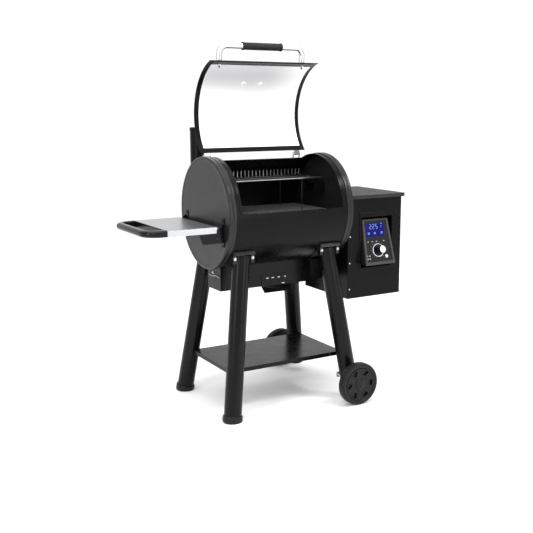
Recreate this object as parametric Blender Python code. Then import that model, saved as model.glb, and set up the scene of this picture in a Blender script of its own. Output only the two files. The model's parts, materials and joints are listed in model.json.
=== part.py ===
"""Pellet smoker grill: barrel cooker on four splayed legs, pellet hopper at the right, side shelf at the left.

Metres, +Z up, front towards -Y.  All sizes below are written from the middle of the barrel at floor
level; the root empty then shifts the whole grill so that the middle of its footprint is the origin.
"""
import math

import bmesh
import bpy
from mathutils import Matrix, Vector

# ---------------------------------------------------------------- general
GAP = 0.0003            # left between pieces that touch
SHEET = 0.002           # steel sheet of the body pieces
TURN_GAP = 0.0004       # radial room round a turning pin or shaft

# ---------------------------------------------------------------- barrel
BARREL_R = 0.2380       # outside of the end caps
BARREL_LEN = 0.6072
BARREL_END = BARREL_LEN / 2
AXIS_Z = 0.850          # height of the barrel's axis
CAP_RIM = 0.032         # width of the rim that wraps the shell
BEAD_H = 0.0014         # pressed beads standing up from the rim
OPEN_HALF = BARREL_END - 0.0576       # half length of the cooking opening
OPEN_FRONT = 86.2       # degrees from the top towards the front
OPEN_REAR = -25.0       # degrees, negative is behind the top
SHELL_STEP = 7.5        # degrees per facet of the sheet round the barrel

# ---------------------------------------------------------------- lid
LID_HALF = OPEN_HALF + 0.0197
LID_FRONT = 87.2
LID_REAR = -27.0
LID_SKIN = 0.002
LID_LIFT = 0.0010       # between the shell and the closed lid
LINER_MARGIN = 0.0015   # from the liner's edge to the opening's edge
LINER_DEPTH = 0.0016
LID_OPEN = 104.4        # degrees that the lid swings
PIVOT_ANGLE = -27.6
PIVOT_R = 0.2603
HINGE_X = LID_HALF - 0.0367
HINGE_W = 0.034
HINGE_PIN_R = 0.0035

# ---------------------------------------------------------------- lid handle
HANDLE_R = 0.013
HANDLE_HALF = LID_HALF - 0.0617
HANDLE_BEND = 0.034
HANDLE_BAR = (84.5, 0.3105)      # angle and radius of the bar, lid closed
HANDLE_FOOT_ANGLE = 76.1
SLEEVE_HALF = 0.097
SLEEVE_R = 0.0165

# ---------------------------------------------------------------- legs
LEG_R = 0.0375
LEG_WALL = 0.002
LEG_FOOT = (BARREL_END + 0.0019, BARREL_R + 0.0025)        # x and y of the leg's axis on the floor
LEG_SPLAY = (0.137, 0.1206)       # how far it moves in per metre of height
LEG_TOP = 0.6835
LEG_START = 0.0095               # tube end above the floor inside its foot
WHEEL_LEG_START = 0.045
FOOT_R = 0.0425
FOOT_H = 0.026
BRACKET_W = 2 * LEG_R + 0.024
BRACKET_T = 0.003
ROOF_REACH = 0.018
WING_W = 0.0150
WING_BOTTOM = 0.655

# ---------------------------------------------------------------- wheels
WHEEL_R = 0.0945
WHEEL_W = 0.040
WHEEL_X = LEG_FOOT[0] - 0.035
WHEEL_FACE_Y = LEG_FOOT[1] + 0.1145
AXLE_R = 0.006
AXLE_SLEEVE_R = 0.0095
HUB_R = 0.022
WEB_T = 0.012
WINDOWS = 6
POCKET_DEPTH = 0.008
AXLE_HEAD_Y = LEG_FOOT[1] - LEG_SPLAY[1] * WHEEL_R - LEG_R - 0.0106
AXLE_HEAD_R = 0.013

# ---------------------------------------------------------------- bottom shelf
TRAY_HALF = (LEG_FOOT[0] - 0.0195, LEG_FOOT[1] - 0.061)
TRAY_Z = 0.203
TRAY_LIP = 0.018

# ---------------------------------------------------------------- side shelf
SHELF_X = (-BARREL_END - 0.2474, -BARREL_END - 0.0314)
SHELF_HALF = 0.185
SHELF_Z = 0.816
SHELF_LIP = 0.025
SHELF_PIN = (-BARREL_END - 0.0224, 0.7995)
SHELF_PIN_R = 0.004
SHELF_TAB = 0.010
SHELF_ARM = ((-BARREL_END - 0.0989, -BARREL_END - 0.1139), (0.749, 0.7885))    # lower and upper end of the arm, its lower and upper edge
GRIP_REACH = 0.095
GRIP_H = 0.028
GRIP_BAR = 0.028
WALL_BRACKET_Z = (0.728, 0.847)
WALL_BRACKET_W = 0.024

# ---------------------------------------------------------------- fire box under the barrel
BOX_X = (-BARREL_END + 0.0416, BARREL_END - 0.1056)
BOX_HALF = 0.061
BOX_Z = 0.517
DRAWER_X = (-0.0585, 0.0655)
DRAWER_TOP = 0.562
DRAWER_DEPTH = 0.105
DRAWER_LIP = (0.027, 0.023)      # forward and down
DUCT_HALF = 0.045
DUCT_Z = (0.520, 0.6105)

# ---------------------------------------------------------------- burner and feed
AUGER_Z = 0.5885
TUBE_R = 0.0200
TUBE_WALL = 0.002
AUGER_R = 0.0165
AUGER_CORE = 0.006
AUGER_PITCH = 0.058
TUBE_END_X = BARREL_END + 0.2264
POT_R = 0.048
POT_WALL = 0.003
POT_Z = (0.5625, 0.650)
IGNITER_R = 0.005

# ---------------------------------------------------------------- inside the barrel
GRATE_Z = 0.838
GRATE_HALF_X = BARREL_END - 0.0226
GRATE_HALF_Y = BARREL_R - 0.018
GRATE_RODS = 18
ROD = 0.005
RACK_Z = 0.980
RACK_Y = (-0.035, 0.165)
RACK_HALF_X = BARREL_END - 0.0316
RACK_RODS = 29
RACK_UPTURN = 0.026
LEDGE_TRAY_Z = 0.752
LEDGE_HALF_Y = BARREL_R - 0.048
DRIP_HALF_Y = BARREL_R - 0.043
DIFFUSER_HALF = (0.110, 0.100)

# ---------------------------------------------------------------- hopper
HOPPER_X = (BARREL_END + 0.0009, BARREL_END + 0.2949)
HOPPER_Y = (-0.196, 0.158)
HOPPER_Z = (0.443, 0.9052)
HOPPER_LID_TOP = 0.908
HOPPER_LID_OVER = 0.0100
HOPPER_LID_LIP = 0.016
HOPPER_PIN_R = 0.0022
BIN_THROAT = ((HOPPER_X[0] + 0.0955, HOPPER_X[0] + 0.1855), (-0.030, 0.030))

# ---------------------------------------------------------------- controller
PANEL_FOOT = (HOPPER_X[0] + 0.153, -0.236, 0.594)     # middle of the panel's lower front edge
PANEL_TILT = 15.3
PANEL_H = 0.2080
PANEL_HALF = (0.081, 0.0705)             # lower and upper half width
PANEL_T = 0.003
BEZEL_PROUD = 0.0045
FRAME_RECT = ((HOPPER_X[0] + 0.0615, HOPPER_X[0] + 0.2675), (0.566, 0.828))
CUTOUT_RECT = ((HOPPER_X[0] + 0.0695, HOPPER_X[0] + 0.2395), (0.580, 0.808))
FRAME_PROUD = 0.0035
CASE_HALF_X = 0.0800
CASE_BACK_Y = -0.150
LCD = ((-0.0625, 0.0445), (0.1286, 0.1907))
DIAL = (-0.003, 0.0653)
RING_R = (0.0255, 0.0310)
KNOB_R = 0.0165
KNOB_LEN = 0.0385
KNOB_SHAFT_R = 0.0035
BUTTON = (0.0395, 0.0350)
BUTTON_R = 0.008
BUTTON_STAND = 0.003

# ---------------------------------------------------------------- exhaust stack
STACK_XY = (-BARREL_END + 0.1136, BARREL_R + 0.047)
STACK_R = 0.038
STACK_Z = 0.905
STACK_TOP = 1.204
STACK_WINDOW = (0.020, 1.140, 1.180)    # half width, lower and upper edge, in the rear of the pipe
STUB_HALF = (0.032, 0.035)

# ================================================================ materials
FINISHES = {
    "barrel_enamel": ((0.020, 0.020, 0.021), 0.38, 0.0),
    "cap_enamel": ((0.032, 0.032, 0.033), 0.45, 0.0),
    "frame_enamel": ((0.024, 0.024, 0.025), 0.42, 0.0),
    "stainless": ((0.62, 0.62, 0.63), 0.28, 1.0),
    "plated_steel": ((0.55, 0.55, 0.56), 0.35, 1.0),
    "porcelain_wire": ((0.10, 0.10, 0.10), 0.45, 0.0),
    "plain_steel": ((0.30, 0.30, 0.31), 0.50, 1.0),
    "black_plastic": ((0.018, 0.018, 0.019), 0.55, 0.0),
    "bezel_plastic": ((0.10, 0.10, 0.11), 0.50, 0.0),
    "display_glass": ((0.02, 0.02, 0.16), 0.15, 0.0),
    "dial_metal": ((0.70, 0.70, 0.72), 0.25, 1.0),
    "button_plastic": ((0.62, 0.60, 0.80), 0.35, 0.0),
    "grip_rubber": ((0.015, 0.015, 0.015), 0.65, 0.0),
    "board_green": ((0.03, 0.12, 0.06), 0.55, 0.0),
}


def finish(name):
    """Principled material of one finish, made once."""
    if name in bpy.data.materials:
        return bpy.data.materials[name]
    colour, rough, metal = FINISHES[name]
    mat = bpy.data.materials.new(name)
    mat.use_nodes = True
    shader = mat.node_tree.nodes["Principled BSDF"]
    shader.inputs["Base Color"].default_value = (*colour, 1.0)
    shader.inputs["Roughness"].default_value = rough
    shader.inputs["Metallic"].default_value = metal
    return mat


# ================================================================ modelling helpers
for old in list(bpy.data.objects):
    bpy.data.objects.remove(old)


def empty(name, location=(0, 0, 0), rotation=(0, 0, 0), parent=None):
    """Empty that carries pieces; a moving body's empty stands on its joint's axis."""
    guide = bpy.data.objects.new(name, None)
    bpy.context.scene.collection.objects.link(guide)
    guide.location = location
    guide.rotation_euler = rotation
    guide.parent = parent
    return guide


REACH_LEFT = -SHELF_X[0] + GRIP_REACH
REACH_RIGHT = HOPPER_X[1] + HOPPER_LID_OVER
GRILL = empty("grill", ((REACH_LEFT - REACH_RIGHT) / 2, 0, 0))


def make(name, verts, faces, mat, carrier=None, smooth=True):
    """Mesh object from points in grill coordinates, carried by an empty and turned right side out."""
    mesh = bpy.data.meshes.new(name)
    mesh.from_pydata([tuple(v) for v in verts], [], faces)
    shape = bmesh.new()
    shape.from_mesh(mesh)
    bmesh.ops.recalc_face_normals(shape, faces=shape.faces)
    shape.to_mesh(mesh)
    shape.free()
    if mat:
        mesh.materials.append(finish(mat))
    obj = bpy.data.objects.new(name, mesh)
    bpy.context.scene.collection.objects.link(obj)
    obj.parent = GRILL
    if smooth:
        mesh.shade_smooth()
        mesh.set_sharp_from_angle(angle=math.radians(35))
    if carrier is not None:
        obj.parent = carrier
        if carrier.get("on_grill"):
            mesh.transform(Matrix.Translation(-carrier.location))
    return obj


def box(name, low, high, mat, carrier=None):
    """Plain rectangular block between two corners."""
    verts = [(x, y, z) for x in (low[0], high[0]) for y in (low[1], high[1]) for z in (low[2], high[2])]
    faces = [(0, 1, 3, 2), (4, 6, 7, 5), (0, 4, 5, 1), (2, 3, 7, 6), (0, 2, 6, 4), (1, 5, 7, 3)]
    return make(name, verts, faces, mat, carrier, smooth=False)


def extrude(name, outline, axis, start, end, mat, carrier=None):
    """Outline of (a, b) pairs in the plane across the axis, pushed from start to end along it."""
    def point(a, b, along):
        return {"x": (along, a, b), "y": (a, along, b), "z": (a, b, along)}[axis]
    count = len(outline)
    verts = [point(a, b, start) for a, b in outline] + [point(a, b, end) for a, b in outline]
    faces = [tuple(range(count)), tuple(range(2 * count - 1, count - 1, -1))]
    faces += [(i, (i + 1) % count, count + (i + 1) % count, count + i) for i in range(count)]
    return make(name, verts, faces, mat, carrier)


def turn(name, profile, origin, axis, mat, carrier=None, segments=24):
    """Closed profile of (along, radius) pairs turned about an axis; ends at radius 0 close to a pole."""
    direction = Vector(axis).normalized()
    across = direction.orthogonal().normalized()
    third = direction.cross(across)
    verts = []
    rings = []
    for along, radius in profile:
        base = Vector(origin) + direction * along
        if radius < 1e-9:
            rings.append([len(verts)] * segments)
            verts.append(base)
            continue
        rings.append(list(range(len(verts), len(verts) + segments)))
        for k in range(segments):
            angle = 2 * math.pi * (k + 0.5) / segments
            verts.append(base + (across * math.cos(angle) + third * math.sin(angle)) * radius)
    faces = []
    closed = profile[0][1] > 1e-9
    for i in range(len(rings) if closed else len(rings) - 1):
        ring, after = rings[i], rings[(i + 1) % len(rings)]
        for k in range(segments):
            loop = (ring[k], ring[(k + 1) % segments], after[(k + 1) % segments], after[k])
            corners = tuple(dict.fromkeys(loop))
            if len(corners) > 2:
                faces.append(corners)
    return make(name, verts, faces, mat, carrier)


def sweep(name, path, radius, mat, carrier=None, sides=10):
    """Round bar along a path of points, with flat ends."""
    points = [Vector(p) for p in path]
    verts = []
    side = None
    for i, point in enumerate(points):
        ahead = points[min(i + 1, len(points) - 1)] - points[max(i - 1, 0)]
        ahead.normalize()
        side = ahead.orthogonal() if side is None else side - ahead * side.dot(ahead)
        side.normalize()
        up = ahead.cross(side)
        for k in range(sides):
            angle = 2 * math.pi * k / sides
            verts.append(point + (side * math.cos(angle) + up * math.sin(angle)) * radius)
    faces = [tuple(range(sides)), tuple(range(len(verts) - 1, len(verts) - sides - 1, -1))]
    for i in range(len(points) - 1):
        for k in range(sides):
            a, b = i * sides + k, i * sides + (k + 1) % sides
            faces.append((a, b, b + sides, a + sides))
    return make(name, verts, faces, mat, carrier)


def pierced(name, us, vs, solid, place, mat, carrier=None, wrap=False):
    """Sheet over a grid of u and v lines with some cells left out; place(u, v, side) gives its two faces."""
    verts = []
    index = {}

    def corner(i, j, side):
        key = (i, j % len(vs) if wrap else j, side)
        if key not in index:
            index[key] = len(verts)
            verts.append(place(us[key[0]], vs[key[1]], side))
        return index[key]

    columns = len(us) - 1
    rows = len(vs) if wrap else len(vs) - 1

    def present(i, j):
        if wrap:
            j %= rows
        return 0 <= i < columns and 0 <= j < rows and solid(i, j)

    faces = []
    for i in range(columns):
        for j in range(rows):
            if not present(i, j):
                continue
            loop = [(i, j), (i + 1, j), (i + 1, j + 1), (i, j + 1)]
            faces.append(tuple(corner(a, b, 0) for a, b in loop))
            faces.append(tuple(corner(a, b, 1) for a, b in reversed(loop)))
            around = [(i, j - 1), (i + 1, j), (i, j + 1), (i - 1, j)]
            for k, (ni, nj) in enumerate(around):
                if not present(ni, nj):
                    (a, b), (c, d) = loop[k], loop[(k + 1) % 4]
                    faces.append((corner(a, b, 1), corner(c, d, 1), corner(c, d, 0), corner(a, b, 0)))
    return make(name, verts, faces, mat, carrier)


def apply_tool(target, tool, operation):
    """Cut a tool out of a piece, or join it on, with the exact solver."""
    step = target.modifiers.new(operation.lower(), "BOOLEAN")
    step.operation = operation
    step.solver = "EXACT"
    step.object = tool
    tool.hide_render = True
    tool.display_type = "WIRE"


def cut(target, *tools):
    """Take the tools away from the target."""
    for tool in tools:
        apply_tool(target, tool, "DIFFERENCE")


def weld(target, *tools):
    """Join the tools onto the target as one body."""
    for tool in tools:
        apply_tool(target, tool, "UNION")


def steps(start, end, size):
    """Evenly spaced values from start to end, no further apart than size."""
    count = max(1, math.ceil(abs(end - start) / size - 1e-9))
    return [start + (end - start) * k / count for k in range(count + 1)]


def lines(breaks, size):
    """Grid lines through every break, no further apart than size."""
    out = [breaks[0]]
    for a, b in zip(breaks, breaks[1:]):
        out += steps(a, b, size)[1:]
    return out


def round_barrel(angle, radius):
    """(y, z) at an angle in degrees from the barrel's top towards the front."""
    turn_by = math.radians(angle)
    return -radius * math.sin(turn_by), AXIS_Z + radius * math.cos(turn_by)


def barrel_depth(y, radius):
    """How far below the axis a circle round the barrel lies at a given y."""
    return math.sqrt(radius * radius - y * y)


def leg_axis(side_x, side_y, z):
    """Point on a leg's axis at a height."""
    return Vector((side_x * (LEG_FOOT[0] - LEG_SPLAY[0] * z), side_y * (LEG_FOOT[1] - LEG_SPLAY[1] * z), z))


SHELL_R = BARREL_R - SHEET - GAP
SHELL_IN = SHELL_R - SHEET
LID_IN = SHELL_R + LID_LIFT
LID_OUT = LID_IN + LID_SKIN
CAP_X = BARREL_LEN / 2
CAP_IN_X = CAP_X - SHEET


def barrel_cutter(name, radius, carrier=None, half=0.4):
    """Many-sided bar on the barrel's axis that clears a circle of the given radius."""
    sides = 96
    return turn(name, [(-half, 0), (-half, radius / math.cos(math.pi / sides)),
                       (half, radius / math.cos(math.pi / sides)), (half, 0)],
                (0, 0, AXIS_Z), (1, 0, 0), None, carrier, segments=sides)


# ================================================================ barrel and caps
def build_barrel():
    """Rolled shell with the cooking opening, the burner hole and the smoke outlet, and two pressed caps."""
    pot_half = POT_R + 0.007
    pot_turn = math.degrees(math.asin((POT_R + 0.006) / SHELL_IN))
    out_low, out_high = STACK_XY[0] - STUB_HALF[0] + 0.003, STACK_XY[0] + STUB_HALF[0] - 0.003
    outlet = sorted(-math.degrees(math.acos((z - AXIS_Z) / SHELL_R)) for z in stub_heights(0.003))
    end = CAP_IN_X - GAP
    us = [-end, -OPEN_HALF, out_low, out_high, -pot_half, pot_half, OPEN_HALF, end]
    breaks = [outlet[0], outlet[1], OPEN_REAR, OPEN_FRONT, 180 - pot_turn, 180 + pot_turn, outlet[0] + 360]
    vs = lines(breaks, SHELL_STEP)[:-1]

    def solid(i, j):
        x = (us[i] + us[i + 1]) / 2
        after = vs[j + 1] if j + 1 < len(vs) else outlet[0] + 360
        angle = (vs[j] + after) / 2
        if abs(x) < OPEN_HALF and OPEN_REAR < angle < OPEN_FRONT:
            return False
        if abs(x) < pot_half and abs(angle - 180) < pot_turn:
            return False
        return not (out_low < x < out_high and outlet[0] < angle < outlet[1])

    def place(u, v, side):
        y, z = round_barrel(v, SHELL_R - SHEET * side)
        return u, y, z

    pierced("barrel_shell", us, vs, solid, place, "barrel_enamel", wrap=True)
    sides = 56
    rim_in = (SHELL_R + GAP) / math.cos(math.pi / sides)
    rim_start = CAP_X - CAP_RIM
    high = BARREL_R + BEAD_H
    low = BARREL_R - 0.0004
    bead = CAP_RIM / 8
    for side, name in ((-1, "left_end_cap"), (1, "right_end_cap")):
        profile = [(CAP_IN_X, 0), (CAP_IN_X, rim_in), (rim_start, rim_in), (rim_start, low),
                   (rim_start + 0.6 * bead, high), (rim_start + 2.0 * bead, high),
                   (rim_start + 2.8 * bead, low), (rim_start + 4.4 * bead, low),
                   (rim_start + 5.2 * bead, high), (rim_start + 6.8 * bead, high),
                   (CAP_X, BARREL_R - 0.0012), (CAP_X, 0)]
        turn(name, profile, (0, 0, AXIS_Z), (side, 0, 0), "cap_enamel", segments=sides)


def stub_heights(inset):
    """Lower and upper z of the exhaust stub where it meets the shell, drawn in by inset."""
    middle = STACK_Z + STUB_HALF[1] + 0.004
    return middle - STUB_HALF[1] + inset, middle + STUB_HALF[1] - inset


# ================================================================ lid
PIVOT_Y, PIVOT_Z = round_barrel(PIVOT_ANGLE, PIVOT_R)
LID_AXIS = empty("lid_axis", (0, PIVOT_Y, PIVOT_Z), (math.radians(-LID_OPEN), 0, 0), GRILL)
LID_AXIS["on_grill"] = True


def arc_sheet(name, half, front, rear, outer, inner, mat, carrier):
    """Curved sheet round the barrel's axis between two angles."""
    def place(u, v, side):
        y, z = round_barrel(v, inner if side else outer)
        return u, y, z
    return pierced(name, [-half, half], steps(rear, front, SHELL_STEP), lambda i, j: True, place, mat, carrier)


def build_lid():
    """Painted outer skin, stainless liner, tube handle and its rubber sleeve."""
    arc_sheet("lid_shell", LID_HALF, LID_FRONT, LID_REAR, LID_OUT, LID_IN, "barrel_enamel", LID_AXIS)
    edge = math.degrees(LINER_MARGIN / SHELL_R)
    liner_out = LID_IN * math.cos(math.radians(SHELL_STEP / 2)) - GAP
    arc_sheet("lid_liner", OPEN_HALF - LINER_MARGIN, OPEN_FRONT - edge, OPEN_REAR + edge + 2.0,
              liner_out, liner_out - LINER_DEPTH, "stainless", LID_AXIS)

    bar_y, bar_z = round_barrel(*HANDLE_BAR)
    foot_y, foot_z = round_barrel(HANDLE_FOOT_ANGLE, LID_OUT - HANDLE_R)
    lead = Vector((0, bar_y - foot_y, bar_z - foot_z))
    reach = lead.length - HANDLE_BEND
    lead.normalize()
    path = []
    for side in (-1, 1):
        arm = []
        foot = Vector((side * HANDLE_HALF, foot_y, foot_z))
        arm.append(foot)
        for k in range(7):
            angle = math.radians(15 * k)
            centre = foot + lead * reach + Vector((-side * HANDLE_BEND, 0, 0))
            arm.append(centre + Vector((side * HANDLE_BEND * math.cos(angle), 0, 0))
                       + lead * HANDLE_BEND * math.sin(angle))
        path += arm if side < 0 else arm[::-1]
    handle = sweep("lid_handle", path, HANDLE_R, "stainless", LID_AXIS, sides=12)
    cut(handle, barrel_cutter("handle_clearance", LID_OUT + GAP, LID_AXIS))
    turn("handle_sleeve", [(-SLEEVE_HALF, HANDLE_R + GAP), (SLEEVE_HALF, HANDLE_R + GAP),
                           (SLEEVE_HALF, SLEEVE_R - 0.0012), (SLEEVE_HALF - 0.002, SLEEVE_R),
                           (-SLEEVE_HALF + 0.002, SLEEVE_R), (-SLEEVE_HALF, SLEEVE_R - 0.0012)],
         (0, bar_y, bar_z), (1, 0, 0), "grip_rubber", LID_AXIS, segments=18)


def round_outline(centre, radius, start, end, count):
    """Points on a circle from start to end degrees."""
    out = []
    for k in range(count):
        angle = math.radians(start + (end - start) * k / (count - 1))
        out.append((centre[0] + radius * math.cos(angle), centre[1] + radius * math.sin(angle)))
    return out


def build_hinges():
    """Two lid hinges: a foot with two ears and a fixed pin, and a leaf that turns on the pin."""
    knuckle = HINGE_PIN_R + 0.0035
    ear_t = 0.003
    leaf_half = HINGE_W / 2 - ear_t - 0.0006
    for side, word in ((-1, "left"), (1, "right")):
        x = side * HINGE_X
        foot_low, foot_high = SHELL_R + GAP, SHELL_R + GAP + 0.0025
        foot_arc = [-31.0, -34.0, -37.0, -40.0]
        outline = [round_barrel(a, foot_low) for a in foot_arc]
        outline += [round_barrel(a, foot_high) for a in reversed(foot_arc)]
        base = extrude("lid_hinge_foot_" + word, outline, "x", x - HINGE_W / 2, x + HINGE_W / 2, "plated_steel")
        down = math.degrees(math.atan2(math.cos(math.radians(PIVOT_ANGLE)), -math.sin(math.radians(PIVOT_ANGLE))))
        ear = round_outline((PIVOT_Y, PIVOT_Z), knuckle, down - 115, down + 115, 9)
        ear = [round_barrel(-38.0, foot_low + 0.001)] + ear + [round_barrel(-31.4, foot_low + 0.001)]
        for k, inner in ((-1, "a"), (1, "b")):
            low = x + k * HINGE_W / 2 - (ear_t if k > 0 else 0)
            weld(base, extrude("ear_%s_%s" % (word, inner), ear, "x", low, low + ear_t, None))
        pin = turn("pin_" + word, [(-HINGE_W / 2 + 0.001, 0), (-HINGE_W / 2 + 0.001, HINGE_PIN_R),
                                   (HINGE_W / 2 - 0.001, HINGE_PIN_R), (HINGE_W / 2 - 0.001, 0)],
                   (x, PIVOT_Y, PIVOT_Z), (1, 0, 0), None, segments=16)
        weld(base, pin)

        skin_low, skin_high = LID_OUT + GAP, LID_OUT + GAP + 0.0025
        leaf_arc = [-25.0, -20.0, -15.0, -10.0]
        outline = [round_barrel(a, skin_low) for a in leaf_arc]
        outline += [round_barrel(a, skin_high) for a in reversed(leaf_arc)]
        leaf = extrude("lid_hinge_leaf_" + word, outline, "x", x - leaf_half, x + leaf_half, "plated_steel", LID_AXIS)
        arm = round_outline((PIVOT_Y, PIVOT_Z), knuckle, down - 100, down + 130, 10)
        arm = [round_barrel(-24.6, skin_low + 0.001)] + arm + [round_barrel(-17.0, skin_low + 0.001)]
        weld(leaf, extrude("arm_" + word, arm, "x", x - leaf_half, x + leaf_half, None, LID_AXIS))
        bore_r = HINGE_PIN_R + TURN_GAP
        bore = turn("bore_" + word, [(-0.03, 0), (-0.03, bore_r), (0.03, bore_r), (0.03, 0)],
                    (x, PIVOT_Y, PIVOT_Z), (1, 0, 0), None, LID_AXIS, segments=16)
        cut(leaf, bore)


# ================================================================ stand
def build_stand():
    """Four coped tube legs with their brackets, two plastic feet, and the folded bottom shelf."""
    saddle_in = SHELL_R + GAP
    saddle_out = saddle_in + BRACKET_T
    cope = barrel_cutter("leg_cope", saddle_out + 0.0006)
    axle_hole = turn("axle_hole", [(-0.4, 0), (-0.4, AXLE_SLEEVE_R + GAP), (0.4, AXLE_SLEEVE_R + GAP), (0.4, 0)],
                     (WHEEL_X, 0, WHEEL_R), (0, 1, 0), None, segments=12)
    floor = box("floor_cut", (-1, -1, -0.2), (1, 1, 0), None)
    for sx, word_x in ((-1, "left"), (1, "right")):
        for sy, word_y in ((-1, "front"), (1, "rear")):
            place = "_%s_%s" % (word_y, word_x)
            start = LEG_START if sx < 0 else WHEEL_LEG_START
            foot, head = leg_axis(sx, sy, start), leg_axis(sx, sy, LEG_TOP)
            tall = (head - foot).length
            leg = turn("leg" + place, [(0, 0), (0, LEG_R), (tall, LEG_R), (tall, LEG_R - LEG_WALL),
                                         (LEG_WALL, LEG_R - LEG_WALL), (LEG_WALL, 0)],
                       foot, head - foot, "frame_enamel", segments=20)
            cut(leg, cope)
            if sx > 0:
                cut(leg, axle_hole)
            else:
                base = leg_axis(sx, sy, 0)
                drop = 0.012
                profile = [(-drop, 0), (-drop, FOOT_R - 0.008), (0.0, FOOT_R - 0.003), (0.008, FOOT_R),
                           (FOOT_H - 0.006, FOOT_R), (FOOT_H, FOOT_R - 0.0015), (FOOT_H, LEG_R + GAP),
                           (LEG_START, LEG_R + GAP), (LEG_START - 0.0005, 0)]
                cup = turn("foot" + place, profile, base, head - foot, "black_plastic", segments=20)
                cut(cup, floor)
            middle = leg_axis(sx, sy, 0.669)
            outer_angle = math.degrees(math.asin(0.1868 / saddle_in))
            inner_angle = math.degrees(math.asin(0.1000 / saddle_in))
            arc = steps(outer_angle, inner_angle, 5.0)
            inner = [(-saddle_in * math.sin(math.radians(a)), AXIS_Z - saddle_in * math.cos(math.radians(a)))
                     for a in arc]
            outer = [(-saddle_out * math.sin(math.radians(a)), AXIS_Z - saddle_out * math.cos(math.radians(a)))
                     for a in arc]
            slope = math.radians(48)
            tip = (inner[0][0] - ROOF_REACH * math.cos(slope), inner[0][1] - ROOF_REACH * math.sin(slope))
            under = (tip[0] + SHEET * math.sin(slope), tip[1] - SHEET * math.cos(slope))
            front = [tip, under]
            outline = inner + outer[::-1][:-1] + [(outer[0][0] + 0.001, outer[0][1] - 0.0015)] + front[::-1]
            outline = [(-sy * y, z) for y, z in outline]
            bracket = extrude("leg_bracket" + place, outline, "x",
                              middle.x - BRACKET_W / 2, middle.x + BRACKET_W / 2, "frame_enamel")
            wing_y = 0.1825
            wing_top = AXIS_Z - barrel_depth(wing_y, saddle_in) - 0.001
            for k, letter in ((-1, "a"), (1, "b")):
                edge = middle.x + k * BRACKET_W / 2
                low_x, high_x = sorted((edge, edge - k * WING_W))
                low_y, high_y = sorted((sy * wing_y, sy * (wing_y + SHEET)))
                weld(bracket, box("wing%s_%s" % (place, letter), (low_x, low_y, WING_BOTTOM),
                                  (high_x, high_y, wing_top), None))
    build_bottom_shelf()


def build_bottom_shelf():
    """Folded sheet tray that sits between the legs, its corners scalloped round them."""
    half_x, half_y = TRAY_HALF
    low = TRAY_Z - TRAY_LIP
    tray = box("bottom_shelf", (-half_x, -half_y, low), (half_x, half_y, TRAY_Z), "frame_enamel")
    cut(tray, box("tray_hollow", (-half_x + SHEET, -half_y + SHEET, low - 0.01),
                  (half_x - SHEET, half_y - SHEET, TRAY_Z - SHEET), None))
    for sx in (-1, 1):
        for sy in (-1, 1):
            foot, head = leg_axis(sx, sy, TRAY_Z - 0.08), leg_axis(sx, sy, TRAY_Z + 0.08)
            tall = (head - foot).length
            cut(tray, turn("leg_room_%d_%d" % (sx, sy),
                           [(0, 0), (0, LEG_R + 0.0012), (tall, LEG_R + 0.0012), (tall, 0)],
                           foot, head - foot, None, segments=20))


def build_wheels():
    """On each right leg a stub axle with a head, and a moulded wheel with six blind pockets in its web."""
    hub_in = WHEEL_FACE_Y - WHEEL_W
    end = WHEEL_FACE_Y - 0.007
    for sy, word in ((-1, "front"), (1, "rear")):
        turn("axle_" + word, [(AXLE_HEAD_Y, 0), (AXLE_HEAD_Y, AXLE_HEAD_R), (AXLE_HEAD_Y + 0.006, AXLE_HEAD_R),
                              (AXLE_HEAD_Y + 0.006, AXLE_SLEEVE_R), (hub_in - 0.001, AXLE_SLEEVE_R),
                              (hub_in - 0.001, AXLE_R), (end, AXLE_R), (end, 0)],
             (WHEEL_X, 0, WHEEL_R), (0, sy, 0), "plated_steel", segments=12)
        axis = empty("wheel_axis_" + word, (WHEEL_X, 0, WHEEL_R), (0, 0, 0), GRILL)
        axis["on_grill"] = True
        inner, face = hub_in, WHEEL_FACE_Y
        bore = AXLE_R + TURN_GAP
        web_out = face - 0.0045
        web_in = web_out - WEB_T
        profile = [(end + 0.001, 0), (end + 0.001, bore), (inner, bore), (inner, HUB_R), (web_in, HUB_R + 0.002),
                   (web_in, 0.066), (inner + 0.003, 0.072), (inner, 0.077), (inner, 0.087), (inner + 0.005, WHEEL_R),
                   (face - 0.007, WHEEL_R), (face - 0.0015, 0.0890), (face, 0.0850), (face - 0.0015, 0.0805),
                   (web_out, 0.0760), (web_out, 0.030), (face - 0.0015, 0.020), (face, 0)]
        wheel = turn("wheel_" + word, profile, (WHEEL_X, 0, WHEEL_R), (0, sy, 0), "black_plastic", axis, segments=40)
        for k in range(WINDOWS):
            middle = 2 * math.pi * k / WINDOWS
            outline = []
            for radius, spread in ((0.044, 4), (0.064, 13)):
                for way in (-1, 1):
                    angle = middle + way * math.radians(spread) * (1 if radius < 0.05 else -1)
                    outline.append((WHEEL_X + radius * math.cos(angle), WHEEL_R + radius * math.sin(angle)))
            low, high = sorted((sy * (web_out - POCKET_DEPTH), sy * (face + 0.01)))
            cut(wheel, extrude("pocket_%s_%d" % (word, k), outline, "y", low, high, None, axis))


# ================================================================ side shelf
SHELF_AXIS = empty("shelf_axis", (SHELF_PIN[0], 0, SHELF_PIN[1]), (0, 0, 0), GRILL)
SHELF_AXIS["on_grill"] = True


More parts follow.
